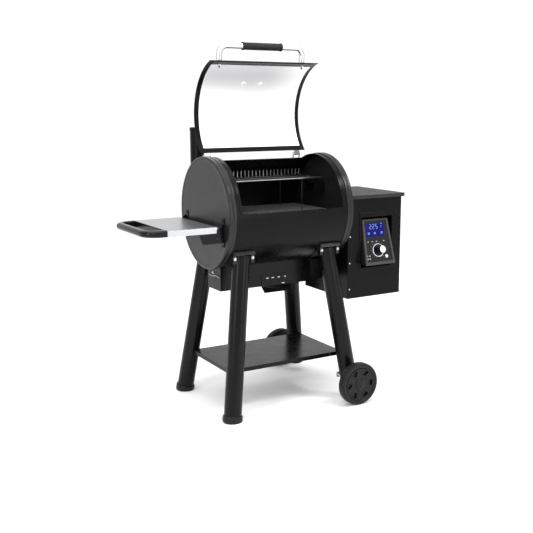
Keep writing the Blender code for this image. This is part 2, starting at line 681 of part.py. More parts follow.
def build_side_shelf():
    """Folded stainless shelf on two pins, its moulded grip, and the two brackets bolted to the left cap."""
    low_x, high_x = SHELF_X
    bottom = SHELF_Z - SHELF_LIP
    shelf = box("side_shelf", (low_x, -SHELF_HALF, bottom), (high_x, SHELF_HALF, SHELF_Z), "stainless", SHELF_AXIS)
    cut(shelf, box("shelf_hollow", (low_x + SHEET, -SHELF_HALF + SHEET, bottom - 0.01),
                   (high_x - SHEET, SHELF_HALF - SHEET, SHELF_Z - SHEET), None, SHELF_AXIS))
    pin_x, pin_z = SHELF_PIN
    for sy in (-1, 1):
        edge = sorted((sy * SHELF_HALF, sy * (SHELF_HALF - SHEET)))
        tab = round_outline((pin_x, pin_z), SHELF_TAB, -90, 90, 9)
        tab = [(high_x - 0.004, pin_z + SHELF_TAB), (high_x - 0.004, pin_z - 0.0085), (pin_x, pin_z - 0.0085)] + tab[1:]
        weld(shelf, extrude("tab_%d" % sy, tab, "y", edge[0], edge[1], None, SHELF_AXIS))
    hole = SHELF_PIN_R + TURN_GAP
    cut(shelf, turn("pin_bore", [(-0.3, 0), (-0.3, hole), (0.3, hole), (0.3, 0)],
                    (pin_x, 0, pin_z), (0, 1, 0), None, SHELF_AXIS, segments=16))
    build_grip(low_x)
    for sy, word in ((-1, "front"), (1, "rear")):
        wall = -CAP_X - GAP
        ear_y = SHELF_HALF + 0.0006
        low_z, high_z = WALL_BRACKET_Z
        spread = sorted((sy * (ear_y + SHEET), sy * (ear_y + SHEET - WALL_BRACKET_W)))
        plate = box("shelf_bracket_" + word, (wall - 0.0025, spread[0], low_z), (wall, spread[1], high_z),
                    "frame_enamel")
        (arm_x, arm_tip_x), (arm_low, arm_high) = SHELF_ARM
        ear = round_outline((pin_x, pin_z), SHELF_TAB + 0.001, 90, 180, 5)
        ear = ear + [(ear[-1][0], arm_high), (arm_tip_x, arm_high), (arm_x, arm_low), (wall - 0.001, arm_low),
                     (wall - 0.001, pin_z + 0.030)]
        flat = sorted((sy * ear_y, sy * (ear_y + SHEET)))
        weld(plate, extrude("bracket_ear_%d" % sy, ear, "y", flat[0], flat[1], None))
        reach = sorted((sy * (SHELF_HALF - 0.008), sy * (ear_y + SHEET + 0.003)))
        weld(plate, turn("shelf_pin_%d" % sy, [(reach[0], 0), (reach[0], SHELF_PIN_R),
                                               (reach[1], SHELF_PIN_R), (reach[1], 0)],
                         (pin_x, 0, pin_z), (0, 1, 0), None, segments=16))


def grip_loop(low_x, high_x, half, radius, count):
    """Plan outline of the grip: straight along the shelf, rounded at the two far corners."""
    points = [(high_x, -half)]
    points += round_outline((low_x + radius, -half + radius), radius, 270, 180, count)
    points += round_outline((low_x + radius, half - radius), radius, 180, 90, count)
    points += [(high_x, half)]
    return points


def build_grip(shelf_x):
    """Moulded loop grip along the shelf's outer edge, with a slot for the hand."""
    right = shelf_x - GAP
    left = shelf_x - GRIP_REACH
    count = 8
    outer = grip_loop(left, right, SHELF_HALF, 0.062, count)
    inner = grip_loop(left + GRIP_BAR, right - 0.006, SHELF_HALF - 0.030, 0.036, count)
    top, bottom = SHELF_Z + 0.002, SHELF_Z + 0.002 - GRIP_H
    soft = 0.008
    middle_x = (left + right) / 2

    def draw(points, inset, z):
        out = []
        for x, y in points:
            pull_x = 0 if abs(x - right) < 1e-6 else math.copysign(inset, middle_x - x)
            out.append((x + pull_x, y - math.copysign(inset, y), z))
        return out

    rings = [draw(outer, soft, bottom), draw(outer, 0, bottom + soft), draw(outer, 0, top - soft),
             draw(outer, soft, top), draw(inner, -soft / 2, top), draw(inner, 0, top - soft / 2),
             draw(inner, 0, bottom + soft / 2), draw(inner, -soft / 2, bottom)]
    size = len(outer)
    verts = [p for ring in rings for p in ring]
    faces = []
    for r in range(len(rings)):
        a, b = r * size, ((r + 1) % len(rings)) * size
        for k in range(size):
            n = (k + 1) % size
            faces.append((a + k, a + n, b + n, b + k))
    make("shelf_grip", verts, faces, "black_plastic", SHELF_AXIS)


# ================================================================ fire box, drawer and burner
DRAWER_AXIS = empty("drawer_axis", (0, -BOX_HALF, BOX_Z), (0, 0, 0), GRILL)
DRAWER_AXIS["on_grill"] = True


def build_fire_box():
    """Sheet box coped to the barrel's underside, with the drawer opening in front and the feed duct at the right."""
    low_x, high_x = BOX_X
    top = AXIS_Z - barrel_depth(BOX_HALF, SHELL_R) + 0.002
    body = box("fire_box", (low_x, -BOX_HALF, BOX_Z), (high_x, BOX_HALF, top), "frame_enamel")
    weld(body, box("feed_duct", (high_x - SHEET / 2, -DUCT_HALF, DUCT_Z[0]),
                   (HOPPER_X[0] - GAP, DUCT_HALF, DUCT_Z[1]), None))
    cut(body, box("duct_hollow", (high_x - 0.01, -DUCT_HALF + SHEET, DUCT_Z[0] + SHEET),
                  (HOPPER_X[0] + 0.01, DUCT_HALF - SHEET, DUCT_Z[1] - SHEET / 2), None),
        box("box_hollow", (low_x + SHEET, -BOX_HALF + SHEET, BOX_Z + SHEET),
                  (high_x - SHEET, BOX_HALF - SHEET, top + 0.1), None),
        barrel_cutter("box_cope", SHELL_R + GAP))
    for side in (-1, 1):
        cut(body, turn("rim_room_%d" % side, [(CAP_X - CAP_RIM - GAP, 0), (CAP_X - CAP_RIM - GAP, BARREL_R + 0.002),
                                              (0.4, BARREL_R + 0.002), (0.4, 0)],
                       (0, 0, AXIS_Z), (side, 0, 0), None, segments=56))
    door = GAP + 0.0007
    cut(body, box("door_way", (DRAWER_X[0] - door, -BOX_HALF - 0.01, BOX_Z + SHEET + GAP),
                  (DRAWER_X[1] + door, -BOX_HALF + 0.01, DRAWER_TOP + door), None))

    face_y = -BOX_HALF
    tray_low, tray_top = BOX_Z + SHEET + GAP + 0.0006, DRAWER_TOP - 0.003
    tray = box("ash_drawer", (DRAWER_X[0], face_y, tray_low), (DRAWER_X[1], face_y + DRAWER_DEPTH, tray_top),
               "frame_enamel", DRAWER_AXIS)
    cut(tray, box("drawer_hollow", (DRAWER_X[0] + SHEET, face_y + SHEET, tray_low + SHEET),
                  (DRAWER_X[1] - SHEET, face_y + DRAWER_DEPTH - SHEET, tray_top + 0.01), None, DRAWER_AXIS))
    front = face_y - GAP
    out, down = DRAWER_LIP
    plate = [(front, DRAWER_TOP + 0.006), (front - SHEET, DRAWER_TOP + 0.006), (front - SHEET, BOX_Z),
             (front - SHEET - out, BOX_Z - down), (front - SHEET - out + 0.0015, BOX_Z - down - 0.0015),
             (front, BOX_Z - 0.002)]
    lip = extrude("drawer_front", plate, "x", DRAWER_X[0] - 0.004, DRAWER_X[1] + 0.004, None, DRAWER_AXIS)
    weld(tray, lip, box("drawer_link", (DRAWER_X[0] + 0.01, front - SHEET / 2, tray_low + 0.002),
                        (DRAWER_X[1] - 0.01, face_y + SHEET / 2, tray_top - 0.004), None, DRAWER_AXIS))


def build_burner():
    """Fire pot with its igniter, and the auger in its tube with the gear motor that turns it."""
    low, high = POT_Z
    pot = turn("fire_pot", [(low, 0), (low, POT_R), (high, POT_R), (high, POT_R - POT_WALL),
                            (low + POT_WALL, POT_R - POT_WALL), (low + POT_WALL, 0)],
               (0, 0, 0), (0, 0, 1), "plain_steel", segments=24)
    mouth = TUBE_R - TUBE_WALL
    cut(pot, turn("pot_mouth", [(0.02, 0), (0.02, mouth), (0.08, mouth), (0.08, 0)],
                  (0, 0, AUGER_Z), (1, 0, 0), None, segments=16),
        turn("igniter_hole", [(0.02, 0), (0.02, IGNITER_R + GAP), (0.08, IGNITER_R + GAP), (0.08, 0)],
             (0, 0, AUGER_Z - 0.006), (-1, 0, 0), None, segments=12))
    turn("igniter_rod", [(POT_R - 0.012, 0), (POT_R - 0.012, IGNITER_R), (POT_R + 0.085, IGNITER_R),
                         (POT_R + 0.085, 0)], (0, 0, AUGER_Z - 0.006), (-1, 0, 0), "plain_steel", segments=10)

    start = POT_R + GAP
    tube = turn("auger_tube", [(start, TUBE_R), (TUBE_END_X, TUBE_R), (TUBE_END_X, TUBE_R - TUBE_WALL),
                               (start, TUBE_R - TUBE_WALL)], (0, 0, AUGER_Z), (1, 0, 0), "plain_steel", segments=20)
    cut(tube, box("feed_slot", (BIN_THROAT[0][0] + 0.004, -0.014, AUGER_Z), (BIN_THROAT[0][1] - 0.004, 0.014,
                                                                             AUGER_Z + 0.05), None))
    build_auger(start + 0.004, TUBE_END_X - 0.004)
    motor = box("auger_motor", (TUBE_END_X + 0.004, -0.036, AUGER_Z - 0.040),
                (HOPPER_X[1] - SHEET - GAP, 0.036, AUGER_Z + 0.034), "plain_steel")
    cut(motor, turn("motor_bore", [(TUBE_END_X - 0.01, 0), (TUBE_END_X - 0.01, AUGER_CORE + TURN_GAP),
                                   (TUBE_END_X + 0.030, AUGER_CORE + TURN_GAP), (TUBE_END_X + 0.030, 0)],
                    (0, 0, AUGER_Z), (1, 0, 0), None, segments=12))


def build_auger(start, end):
    """Screw of the feed: a core whose radius swells to the flight along a helix."""
    axis = empty("auger_axis", (0, 0, AUGER_Z), (0, 0, 0), GRILL)
    axis["on_grill"] = True
    sides = 12
    turns = (end - start) / AUGER_PITCH
    slices = round(turns * 8)
    verts = [Vector((start, 0, AUGER_Z))]
    for i in range(slices + 1):
        x = start + (end - start) * i / slices
        for k in range(sides):
            angle = 2 * math.pi * k / sides
            phase = ((x - start) / AUGER_PITCH - k / sides) % 1.0
            near = max(0.0, 1.0 - abs(phase - 0.5) / 0.16)
            radius = AUGER_CORE + (AUGER_R - AUGER_CORE) * min(1.0, near * 1.6)
            if i in (0, slices):
                radius = AUGER_CORE
            verts.append(Vector((x, radius * math.cos(angle), AUGER_Z + radius * math.sin(angle))))
    for k in range(sides):
        angle = 2 * math.pi * k / sides
        verts.append(Vector((end + 0.030, AUGER_CORE * math.cos(angle), AUGER_Z + AUGER_CORE * math.sin(angle))))
    verts.append(Vector((end + 0.030, 0, AUGER_Z)))
    rings = slices + 2
    faces = []
    for k in range(sides):
        n = (k + 1) % sides
        faces.append((0, 1 + n, 1 + k))
        last = 1 + (rings - 1) * sides
        faces.append((len(verts) - 1, last + k, last + n))
        for i in range(rings - 1):
            a = 1 + i * sides
            faces.append((a + k, a + n, a + sides + n, a + sides + k))
    make("auger_screw", verts, faces, "plain_steel", axis)


def build_interior():
    """Heat diffuser, drip tray, end ledges, two grates, warming rack and the guarded temperature probe."""
    half_x, half_y = DIFFUSER_HALF
    floor_z = AXIS_Z - barrel_depth(half_y, SHELL_IN)
    ridge = [(-half_y, floor_z + 0.0012), (-half_y, 0.676), (-half_y * 0.6, 0.700), (half_y * 0.6, 0.700),
             (half_y, 0.676), (half_y, floor_z + 0.0012)]
    under = [(y - math.copysign(SHEET, y), z - (SHEET if z > floor_z + 0.01 else -0.0015)) for y, z in ridge]
    extrude("heat_diffuser", ridge + under[::-1], "x", -half_x, half_x, "plain_steel")

    web = CAP_IN_X - GAP
    reach = web - 0.022
    for side, word in ((-1, "left"), (1, "right")):
        def channel(x, z):
            return side * x, z
        low, high = LEDGE_TRAY_Z, GRATE_Z - ROD / 2 - GAP
        outline = [channel(web, low - SHEET), channel(reach, low - SHEET), channel(reach, low),
                   channel(web - SHEET, low), channel(web - SHEET, high - SHEET), channel(reach, high - SHEET),
                   channel(reach, high), channel(web, high)]
        extrude("grate_ledge_" + word, outline, "y", -LEDGE_HALF_Y, LEDGE_HALF_Y, "frame_enamel")

    low = LEDGE_TRAY_Z + GAP
    half = web - SHEET - 0.0015
    drip = box("drip_tray", (-half, -DRIP_HALF_Y, low), (half, DRIP_HALF_Y, low + 0.014), "plain_steel")
    cut(drip, box("drip_hollow", (-half + SHEET, -DRIP_HALF_Y + SHEET, low + SHEET),
                  (half - SHEET, DRIP_HALF_Y - SHEET, low + 0.05), None))

    bars = (-GRATE_HALF_Y + 0.010, 0.0, GRATE_HALF_Y - 0.010)
    for side, word in ((-1, "left"), (1, "right")):
        inner, outer = 0.0015, GRATE_HALF_X
        build_grate("cooking_grate_" + word, *sorted((side * inner, side * outer)), bars)
    build_rack()

    end = CAP_IN_X - GAP
    guard = [(-0.012, 0.912), (-0.012, 0.957), (0.075, 0.957), (0.075, 0.912), (0.073, 0.912), (0.073, 0.955),
             (-0.010, 0.955), (-0.010, 0.912)]
    probe = extrude("temperature_probe", guard, "x", end - 0.0583, end, "stainless")
    weld(probe, box("probe_seat", (end - SHEET, -0.011, 0.914), (end, 0.074, 0.956), None),
         turn("probe_stem", [(end - 0.0513, 0), (end - 0.0513, 0.003), (end - 0.0113, 0.003), (end - 0.0113, 0.006),
                             (end - 0.001, 0.006), (end - 0.001, 0)], (0, 0.030, 0.935), (1, 0, 0), None, segments=12))


def rod_lines(low, high, count):
    """Both edges of each rod, spread evenly between low and high."""
    pitch = (high - low - ROD) / (count - 1)
    return [low + k * pitch + edge for k in range(count) for edge in (0, ROD)]


def build_grate(name, low_x, high_x, bars):
    """Cooking grate: rods from front to back, welded to three bars."""
    us = rod_lines(low_x, high_x, GRATE_RODS)
    vs = [-GRATE_HALF_Y]
    for y in bars:
        vs += [y - ROD / 2, y + ROD / 2]
    vs += [GRATE_HALF_Y]

    def place(u, v, side):
        return u, v, GRATE_Z + ROD / 2 - ROD * side

    pierced(name, us, vs, lambda i, j: i % 2 == 0 or j % 2 == 1, place, "porcelain_wire")


def build_rack():
    """Warming rack: rods turned up at the back, front and rear bars, and four legs that stand on the grates."""
    front, rear = RACK_Y
    us = rod_lines(-RACK_HALF_X, RACK_HALF_X, RACK_RODS)
    flat = rear - front
    vs = [0.0, ROD, flat * 0.5 - ROD / 2, flat * 0.5 + ROD / 2, flat - ROD, flat, flat + RACK_UPTURN]

    def bend(u, v, side):
        if abs(v - flat) < 1e-6:
            return (u, rear, RACK_Z - ROD / 2) if side else (u, rear - ROD, RACK_Z + ROD / 2)
        if v > flat:
            return (u, rear, RACK_Z - ROD / 2 + v - flat) if side else (u, rear - ROD, RACK_Z - ROD / 2 + v - flat)
        return u, front + v - (ROD if abs(v - flat + ROD) < 1e-6 else 0), \
            RACK_Z + (ROD / 2 if side == 0 else -ROD / 2)

    rack = pierced("warming_rack", us, vs, lambda i, j: i % 2 == 0 or j in (0, 2, 4), bend, "plated_steel")
    foot = GRATE_Z + ROD / 2 + GAP
    for k, x in enumerate((-0.164, 0.164)):
        for y in (front + ROD / 2, rear - 1.5 * ROD):
            weld(rack, box("rack_leg_%d_%d" % (k, y > 0), (x - ROD / 2, y - ROD / 2, foot),
                           (x + ROD / 2, y + ROD / 2, RACK_Z - 0.001), None))


# ================================================================ hopper
HOPPER_LID_AXIS = empty("hopper_lid_axis", (0, HOPPER_Y[1] + 0.0065, HOPPER_Z[1] - 0.0015), (0, 0, 0), GRILL)
HOPPER_LID_AXIS["on_grill"] = True


def build_hopper():
    """Cabinet, pellet bin, hinged lid, blower and power inlet."""
    (x0, x1), (y0, y1), (z0, z1) = HOPPER_X, HOPPER_Y, HOPPER_Z
    cabinet = box("hopper_cabinet", (x0, y0, z0), (x1, y1, z1), "cap_enamel")
    (ax0, ax1), (az0, az1) = FRAME_RECT
    (fx0, fx1), (fz0, fz1) = CUTOUT_RECT
    weld(cabinet, box("pressed_frame", (ax0, y0 - FRAME_PROUD, az0), (ax1, y0 + SHEET / 2, az1), None))
    fan_x, fan_z = x0 + 0.11, z0 + 0.062
    inlet = (x1 - 0.075, z0 + 0.060)
    cut(cabinet, box("cabinet_hollow", (x0 + SHEET, y0 + SHEET, z0 + SHEET), (x1 - SHEET, y1 - SHEET, z1 + 0.1), None),
        box("panel_way", (fx0, y0 - 0.01, fz0), (fx1, y0 + 0.01, fz1), None),
        turn("tube_way", [(x0 - 0.01, 0), (x0 - 0.01, TUBE_R + GAP), (x0 + 0.01, TUBE_R + GAP), (x0 + 0.01, 0)],
             (0, 0, AUGER_Z), (1, 0, 0), None, segments=20),
        box("air_way", (x0 - 0.01, -DUCT_HALF + 0.008, DUCT_Z[0] + 0.006),
            (x0 + 0.01, DUCT_HALF - 0.008, AUGER_Z - TUBE_R - 0.004), None),
        turn("fan_way", [(y1 - 0.01, 0), (y1 - 0.01, 0.038), (y1 + 0.01, 0.038), (y1 + 0.01, 0)],
             (fan_x, 0, fan_z), (0, 1, 0), None, segments=20),
        box("inlet_way", (inlet[0] - 0.0143, y1 - 0.01, inlet[1] - 0.0123),
            (inlet[0] + 0.0143, y1 + 0.01, inlet[1] + 0.0123), None))
    build_bin(x0, x1, y0, y1, z1)
    build_blower(fan_x, fan_z, y1 - SHEET - GAP)
    inside = y1 - SHEET - 0.022
    plug = box("power_inlet", (inlet[0] - 0.0135, inside, inlet[1] - 0.0115),
               (inlet[0] + 0.0135, y1 + 0.002, inlet[1] + 0.0115), "black_plastic")
    cut(plug, box("inlet_socket", (inlet[0] - 0.011, inside + 0.006, inlet[1] - 0.008),
                  (inlet[0] + 0.011, y1 + 0.01, inlet[1] + 0.008), None))
    weld(plug, box("inlet_flange_rim", (inlet[0] - 0.020, y1 + GAP, inlet[1] - 0.016),
                   (inlet[0] - 0.011 - GAP, y1 + 0.002, inlet[1] + 0.016), None),
         box("inlet_flange_rim_b", (inlet[0] + 0.011 + GAP, y1 + GAP, inlet[1] - 0.016),
             (inlet[0] + 0.020, y1 + 0.002, inlet[1] + 0.016), None))
    build_hopper_lid(x0, x1, y0, z1)


def build_bin(x0, x1, y0, y1, z1):
    """Pellet bin: four sheet walls sloping down to the throat over the auger tube."""
    rim = z1 - 0.014
    throat_top = AUGER_Z + TUBE_R + 0.020
    throat_low = AUGER_Z + TUBE_R + GAP
    (tx0, tx1), (ty0, ty1) = BIN_THROAT
    wide = (x0 + SHEET + GAP, x1 - SHEET - GAP, y0 + SHEET + GAP, y1 - SHEET - GAP)
    rings = [(wide, rim), (wide, rim - 0.012), ((tx0, tx1, ty0, ty1), throat_top), ((tx0, tx1, ty0, ty1), throat_low)]
    verts = []
    for inset in (0, SHEET):
        for (a, b, c, d), z in rings:
            verts += [(a + inset, c + inset, z), (b - inset, c + inset, z),
                      (b - inset, d - inset, z), (a + inset, d - inset, z)]
    faces = []
    count = len(rings)
    for layer in (0, 1):
        for r in range(count - 1):
            base = (layer * count + r) * 4
            for k in range(4):
                n = (k + 1) % 4
                faces.append((base + k, base + n, base + 4 + n, base + 4 + k))
    for r in (0, count - 1):
        for k in range(4):
            n = (k + 1) % 4
            a, b = r * 4, (count + r) * 4
            faces.append((a + k, a + n, b + n, b + k))
    make("pellet_bin", verts, faces, "plain_steel", smooth=False)


def build_blower(x, z, wall):
    """Axial blower on the cabinet's back wall: square frame with a strut and a seven-bladed fan on its pin."""
    half, depth, ring = 0.046, 0.025, 0.042
    frame = box("blower_frame", (x - half, wall - depth, z - half), (x + half, wall, z + half), "black_plastic")
    cut(frame, turn("blower_bore", [(wall - 0.05, 0), (wall - 0.05, ring), (wall + 0.01, ring), (wall + 0.01, 0)],
                    (x, 0, z), (0, 1, 0), None, segments=24))
    weld(frame, box("blower_strut", (x - ring - 0.001, wall - 0.003, z - 0.004), (x + ring + 0.001, wall, z + 0.004),
                    None),
         turn("blower_pin", [(wall - depth + 0.005, 0), (wall - depth + 0.005, 0.002), (wall - 0.001, 0.002),
                             (wall - 0.001, 0)], (x, 0, z), (0, 1, 0), None, segments=10))
    axis = empty("fan_axis", (x, 0, z), (0, 0, 0), GRILL)
    axis["on_grill"] = True
    hub, blades = 0.016, 7
    outline = []
    for k in range(blades):
        base = 2 * math.pi * k / blades
        for radius, turn_by in ((hub, 0.0), (0.0385, 0.18), (0.0385, 0.52), (hub, 0.34), (hub, 0.62)):
            outline.append((x + radius * math.cos(base + turn_by), z + radius * math.sin(base + turn_by)))
    fan = extrude("fan_rotor", outline, "y", wall - depth + 0.002, wall - 0.006, "black_plastic", axis)
    cut(fan, turn("rotor_bore", [(wall - depth + 0.004, 0), (wall - depth + 0.004, 0.0024), (wall, 0.0024), (wall, 0)],
                  (x, 0, z), (0, 1, 0), None, axis, segments=10))


def build_hopper_lid(x0, x1, y0, z1):
    """Folded lid with a front and a right lip, hinged on a long pin behind the cabinet."""
    hinge_y, hinge_z = HOPPER_LID_AXIS.location.y, HOPPER_LID_AXIS.location.z
    right, front = x1 + HOPPER_LID_OVER, y0 - HOPPER_LID_OVER
    under = z1 + GAP + 0.0001
    back = HOPPER_Y[1] + SHEET
    lid = box("hopper_lid", (x0, front, under), (right, back, HOPPER_LID_TOP), "cap_enamel", HOPPER_LID_AXIS)
    lip_z = HOPPER_LID_TOP - HOPPER_LID_LIP
    weld(lid, box("lid_front_lip", (x0, front, lip_z), (right, front + SHEET, HOPPER_LID_TOP - 0.001), None,
                  HOPPER_LID_AXIS),
         box("lid_right_lip", (right - SHEET, front + SHEET / 2, lip_z), (right, back - 0.004, HOPPER_LID_TOP - 0.001),
             None, HOPPER_LID_AXIS))
    knuckle = HOPPER_PIN_R + TURN_GAP + 0.0014
    spans = steps(x0 + 0.020, x1 - 0.020, 0.055)
    leaf = box("hopper_hinge", (spans[0], HOPPER_Y[1] + GAP, z1 - 0.034), (spans[-1], HOPPER_Y[1] + GAP + 0.0012,
                                                                          z1 - 0.0066), "plated_steel")
    weld(leaf, turn("hopper_pin", [(spans[0], 0), (spans[0], HOPPER_PIN_R), (spans[-1], HOPPER_PIN_R), (spans[-1], 0)],
                    (0, hinge_y, hinge_z), (1, 0, 0), None, segments=12))
    bore = turn("lid_pin_bore", [(0.2, 0), (0.2, HOPPER_PIN_R + TURN_GAP), (0.7, HOPPER_PIN_R + TURN_GAP), (0.7, 0)],
                (0, hinge_y, hinge_z), (1, 0, 0), None, HOPPER_LID_AXIS, segments=12)
    for k, (a, b) in enumerate(zip(spans, spans[1:])):
        ring = [(a + 0.0006, 0), (a + 0.0006, knuckle), (b - 0.0006, knuckle), (b - 0.0006, 0)]
        if k % 2:
            weld(lid, turn("lid_knuckle_%d" % k, ring, (0, hinge_y, hinge_z), (1, 0, 0), None, HOPPER_LID_AXIS,
                           segments=12),
                 box("lid_knuckle_web_%d" % k, (a + 0.0006, back - 0.002, hinge_z + knuckle - 0.0018),
                     (b - 0.0006, hinge_y, HOPPER_LID_TOP - 0.0004), None, HOPPER_LID_AXIS))
        else:
            weld(leaf, turn("leaf_knuckle_%d" % k, ring, (0, hinge_y, hinge_z), (1, 0, 0), None, segments=12),
                 box("leaf_web_%d" % k, (a + 0.0006, HOPPER_Y[1] + GAP, z1 - 0.010),
                     (b - 0.0006, hinge_y, hinge_z - knuckle + 0.0012), None))
    cut(lid, bore)


# ================================================================ controller
PANEL = empty("panel_frame", PANEL_FOOT, (math.radians(-PANEL_TILT), 0, 0), GRILL)


def carried(name, panel_x, panel_z):
    """Empty on the panel's face for a piece that turns or slides across it."""
    return empty(name, (panel_x, 0, panel_z), (0, 0, 0), PANEL)


def build_controller():
    """Wedge case, sloping panel with a raised rim, display, dial ring, knob, button and circuit board."""
    foot_x, foot_y, foot_z = PANEL_FOOT
    tilt = math.radians(PANEL_TILT)
    back = PANEL_T + GAP
    lean = (math.sin(tilt), math.cos(tilt))

    def behind(along, depth):
        """(y, z) at a distance up the panel and a depth behind its face."""
        return foot_y + along * lean[0] + depth * lean[1], foot_z + along * lean[1] - depth * lean[0]

    low, high = behind(0.002, back), behind(PANEL_H - 0.002, back)
    outer = [low, high, (CASE_BACK_Y, high[1]), (CASE_BACK_Y, low[1])]
    case = extrude("controller_case", outer, "x", foot_x - CASE_HALF_X, foot_x + CASE_HALF_X, "black_plastic")
    wall = 0.0025
    low_in, high_in = behind(0.002 + wall, -0.01), behind(PANEL_H - 0.002 - wall, -0.01)
    inner = [(low_in[0], low[1] + wall), (high_in[0], high[1] - wall), (CASE_BACK_Y - wall, high[1] - wall),
             (CASE_BACK_Y - wall, low[1] + wall)]
    cut(case, extrude("case_hollow", inner, "x", foot_x - CASE_HALF_X + wall, foot_x + CASE_HALF_X - wall, None))

    half_low, half_high = PANEL_HALF
    plan = [(-half_low, 0), (half_low, 0), (half_high, PANEL_H), (-half_high, PANEL_H)]
    panel = extrude("control_panel", plan, "y", -BEZEL_PROUD, PANEL_T, "bezel_plastic", PANEL)
    (lx0, lx1), (lz0, lz1) = LCD
    shaft = KNOB_SHAFT_R + TURN_GAP
    button_hole = BUTTON_R + TURN_GAP
    cut(panel, box("lcd_way", (lx0 - GAP, -0.01, lz0 - GAP), (lx1 + GAP, 0.01, lz1 + GAP), None, PANEL),
        turn("shaft_way", [(-0.01, 0), (-0.01, shaft), (0.01, shaft), (0.01, 0)], (DIAL[0], 0, DIAL[1]),
             (0, 1, 0), None, PANEL, segments=12),
        turn("button_way", [(-0.01, 0), (-0.01, button_hole), (0.01, button_hole), (0.01, 0)],
             (BUTTON[0], 0, BUTTON[1]), (0, 1, 0), None, PANEL, segments=20))
    band = 0.0105
    inside = [(-half_low + band, band * 1.3), (half_low - band, band * 1.3),
              (half_high - band, PANEL_H - band * 0.7), (-half_high + band, PANEL_H - band * 0.7)]
    cut(panel, extrude("bezel_way", inside, "y", -0.02, 0, None, PANEL))
    box("display", (lx0, 0.0006, lz0), (lx1, 0.0050, lz1), "display_glass", PANEL)
    turn("dial_ring", [(-0.0030, RING_R[0] + 0.001), (-0.0030, RING_R[1] - 0.001), (-GAP, RING_R[1]),
                       (-GAP, RING_R[0])], (DIAL[0], 0, DIAL[1]), (0, 1, 0), "dial_metal", PANEL, segments=32)
    board_back = CASE_BACK_Y - wall - GAP
    box("circuit_board", (foot_x - 0.068, board_back - 0.0016, foot_z + 0.030),
        (foot_x + 0.068, board_back, foot_z + PANEL_H - 0.045), "board_green")

    knob_at = carried("knob_axis", *DIAL)
    turn("control_knob", [(-KNOB_LEN, 0), (-KNOB_LEN, KNOB_R - 0.0015), (-KNOB_LEN + 0.0015, KNOB_R),
                          (-0.006, KNOB_R + 0.0020), (-0.0012, KNOB_R + 0.0030), (-0.0012, KNOB_SHAFT_R),
                          (0.016, KNOB_SHAFT_R), (0.016, 0)], (0, 0, 0), (0, 1, 0), "black_plastic", knob_at,
         segments=28)
    button_at = carried("button_axis", *BUTTON)
    turn("power_button", [(-BUTTON_STAND, 0), (-BUTTON_STAND, BUTTON_R - 0.001), (-BUTTON_STAND + 0.001, BUTTON_R),
                          (PANEL_T + 0.003, BUTTON_R), (PANEL_T + 0.003, 0)], (0, 0, 0), (0, 1, 0),
         "button_plastic", button_at, segments=20)


# ================================================================ exhaust stack
def build_stack():
    """Round stack behind the barrel: a stub from the shell into the pipe, a lipped top, and a smoke window at the rear."""
    x, y = STACK_XY
    low = STACK_Z
    pipe = turn("exhaust_stack", [(low, 0), (low, STACK_R), (STACK_TOP - 0.016, STACK_R),
                                  (STACK_TOP - 0.016, STACK_R + 0.0015), (STACK_TOP - 0.002, STACK_R + 0.0015),
                                  (STACK_TOP, STACK_R - 0.001), (STACK_TOP, 0)],
                (x, y, 0), (0, 0, 1), "frame_enamel", segments=24)
    z0, z1 = stub_heights(0)
    half = STUB_HALF[0]
    stub = box("stub_outside", (x - half, 0.10, z0), (x + half, y, z1), None)
    bore = box("stub_inside", (x - half + SHEET, 0.05, z0 + SHEET), (x + half - SHEET, y, z1 - SHEET), None)
    weld(pipe, stub)
    inner = turn("pipe_bore", [(low + SHEET, 0), (low + SHEET, STACK_R - SHEET), (STACK_TOP - SHEET, STACK_R - SHEET),
                               (STACK_TOP - SHEET, 0)], (x, y, 0), (0, 0, 1), None, segments=24)
    (window_half, window_low, window_high) = STACK_WINDOW
    cut(pipe, bore, barrel_cutter("stub_cope", SHELL_R + GAP), inner,
        box("smoke_window", (x - window_half, y, window_low), (x + window_half, y + 0.06, window_high), None))


build_barrel()
build_lid()
build_hinges()
build_stand()
build_wheels()
build_side_shelf()
build_fire_box()
build_burner()
build_interior()
build_hopper()
build_controller()
build_stack()
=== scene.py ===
"""Looks of the pellet smoker grill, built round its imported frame, section by section as it is put together."""

import json
import math

import bmesh
import bpy
import numpy as np
from mathutils import Matrix, Vector


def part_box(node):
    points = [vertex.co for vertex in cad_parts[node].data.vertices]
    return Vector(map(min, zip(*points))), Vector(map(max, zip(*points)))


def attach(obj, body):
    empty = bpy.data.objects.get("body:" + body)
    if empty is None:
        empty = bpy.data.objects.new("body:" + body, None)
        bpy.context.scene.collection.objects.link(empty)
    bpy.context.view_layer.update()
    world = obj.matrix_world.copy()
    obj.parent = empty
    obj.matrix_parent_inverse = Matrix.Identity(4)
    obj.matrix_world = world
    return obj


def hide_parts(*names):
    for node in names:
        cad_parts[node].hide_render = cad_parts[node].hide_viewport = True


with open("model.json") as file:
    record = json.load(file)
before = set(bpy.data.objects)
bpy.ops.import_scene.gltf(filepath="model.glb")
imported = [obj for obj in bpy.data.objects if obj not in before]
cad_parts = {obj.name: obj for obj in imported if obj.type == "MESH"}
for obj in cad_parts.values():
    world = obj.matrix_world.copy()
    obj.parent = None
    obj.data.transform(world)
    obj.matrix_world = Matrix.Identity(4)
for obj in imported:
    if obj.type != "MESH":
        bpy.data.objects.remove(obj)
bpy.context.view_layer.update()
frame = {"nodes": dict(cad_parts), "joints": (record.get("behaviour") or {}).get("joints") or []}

# ---- studio
# A white seamless floor and surround, a large soft panel above, one at the left and one in front, and two
# small ones for the inside of the barrel and for its rims. None of it belongs to the grill.
camera = bpy.data.objects.new("studio_camera", bpy.data.cameras.new("studio_camera"))
bpy.context.scene.collection.objects.link(camera)
camera.location = (-1.8092, -3.203, 1.295)
PAN, TILT_DOWN, ROLL = -0.5325, 0.1894, -0.0021
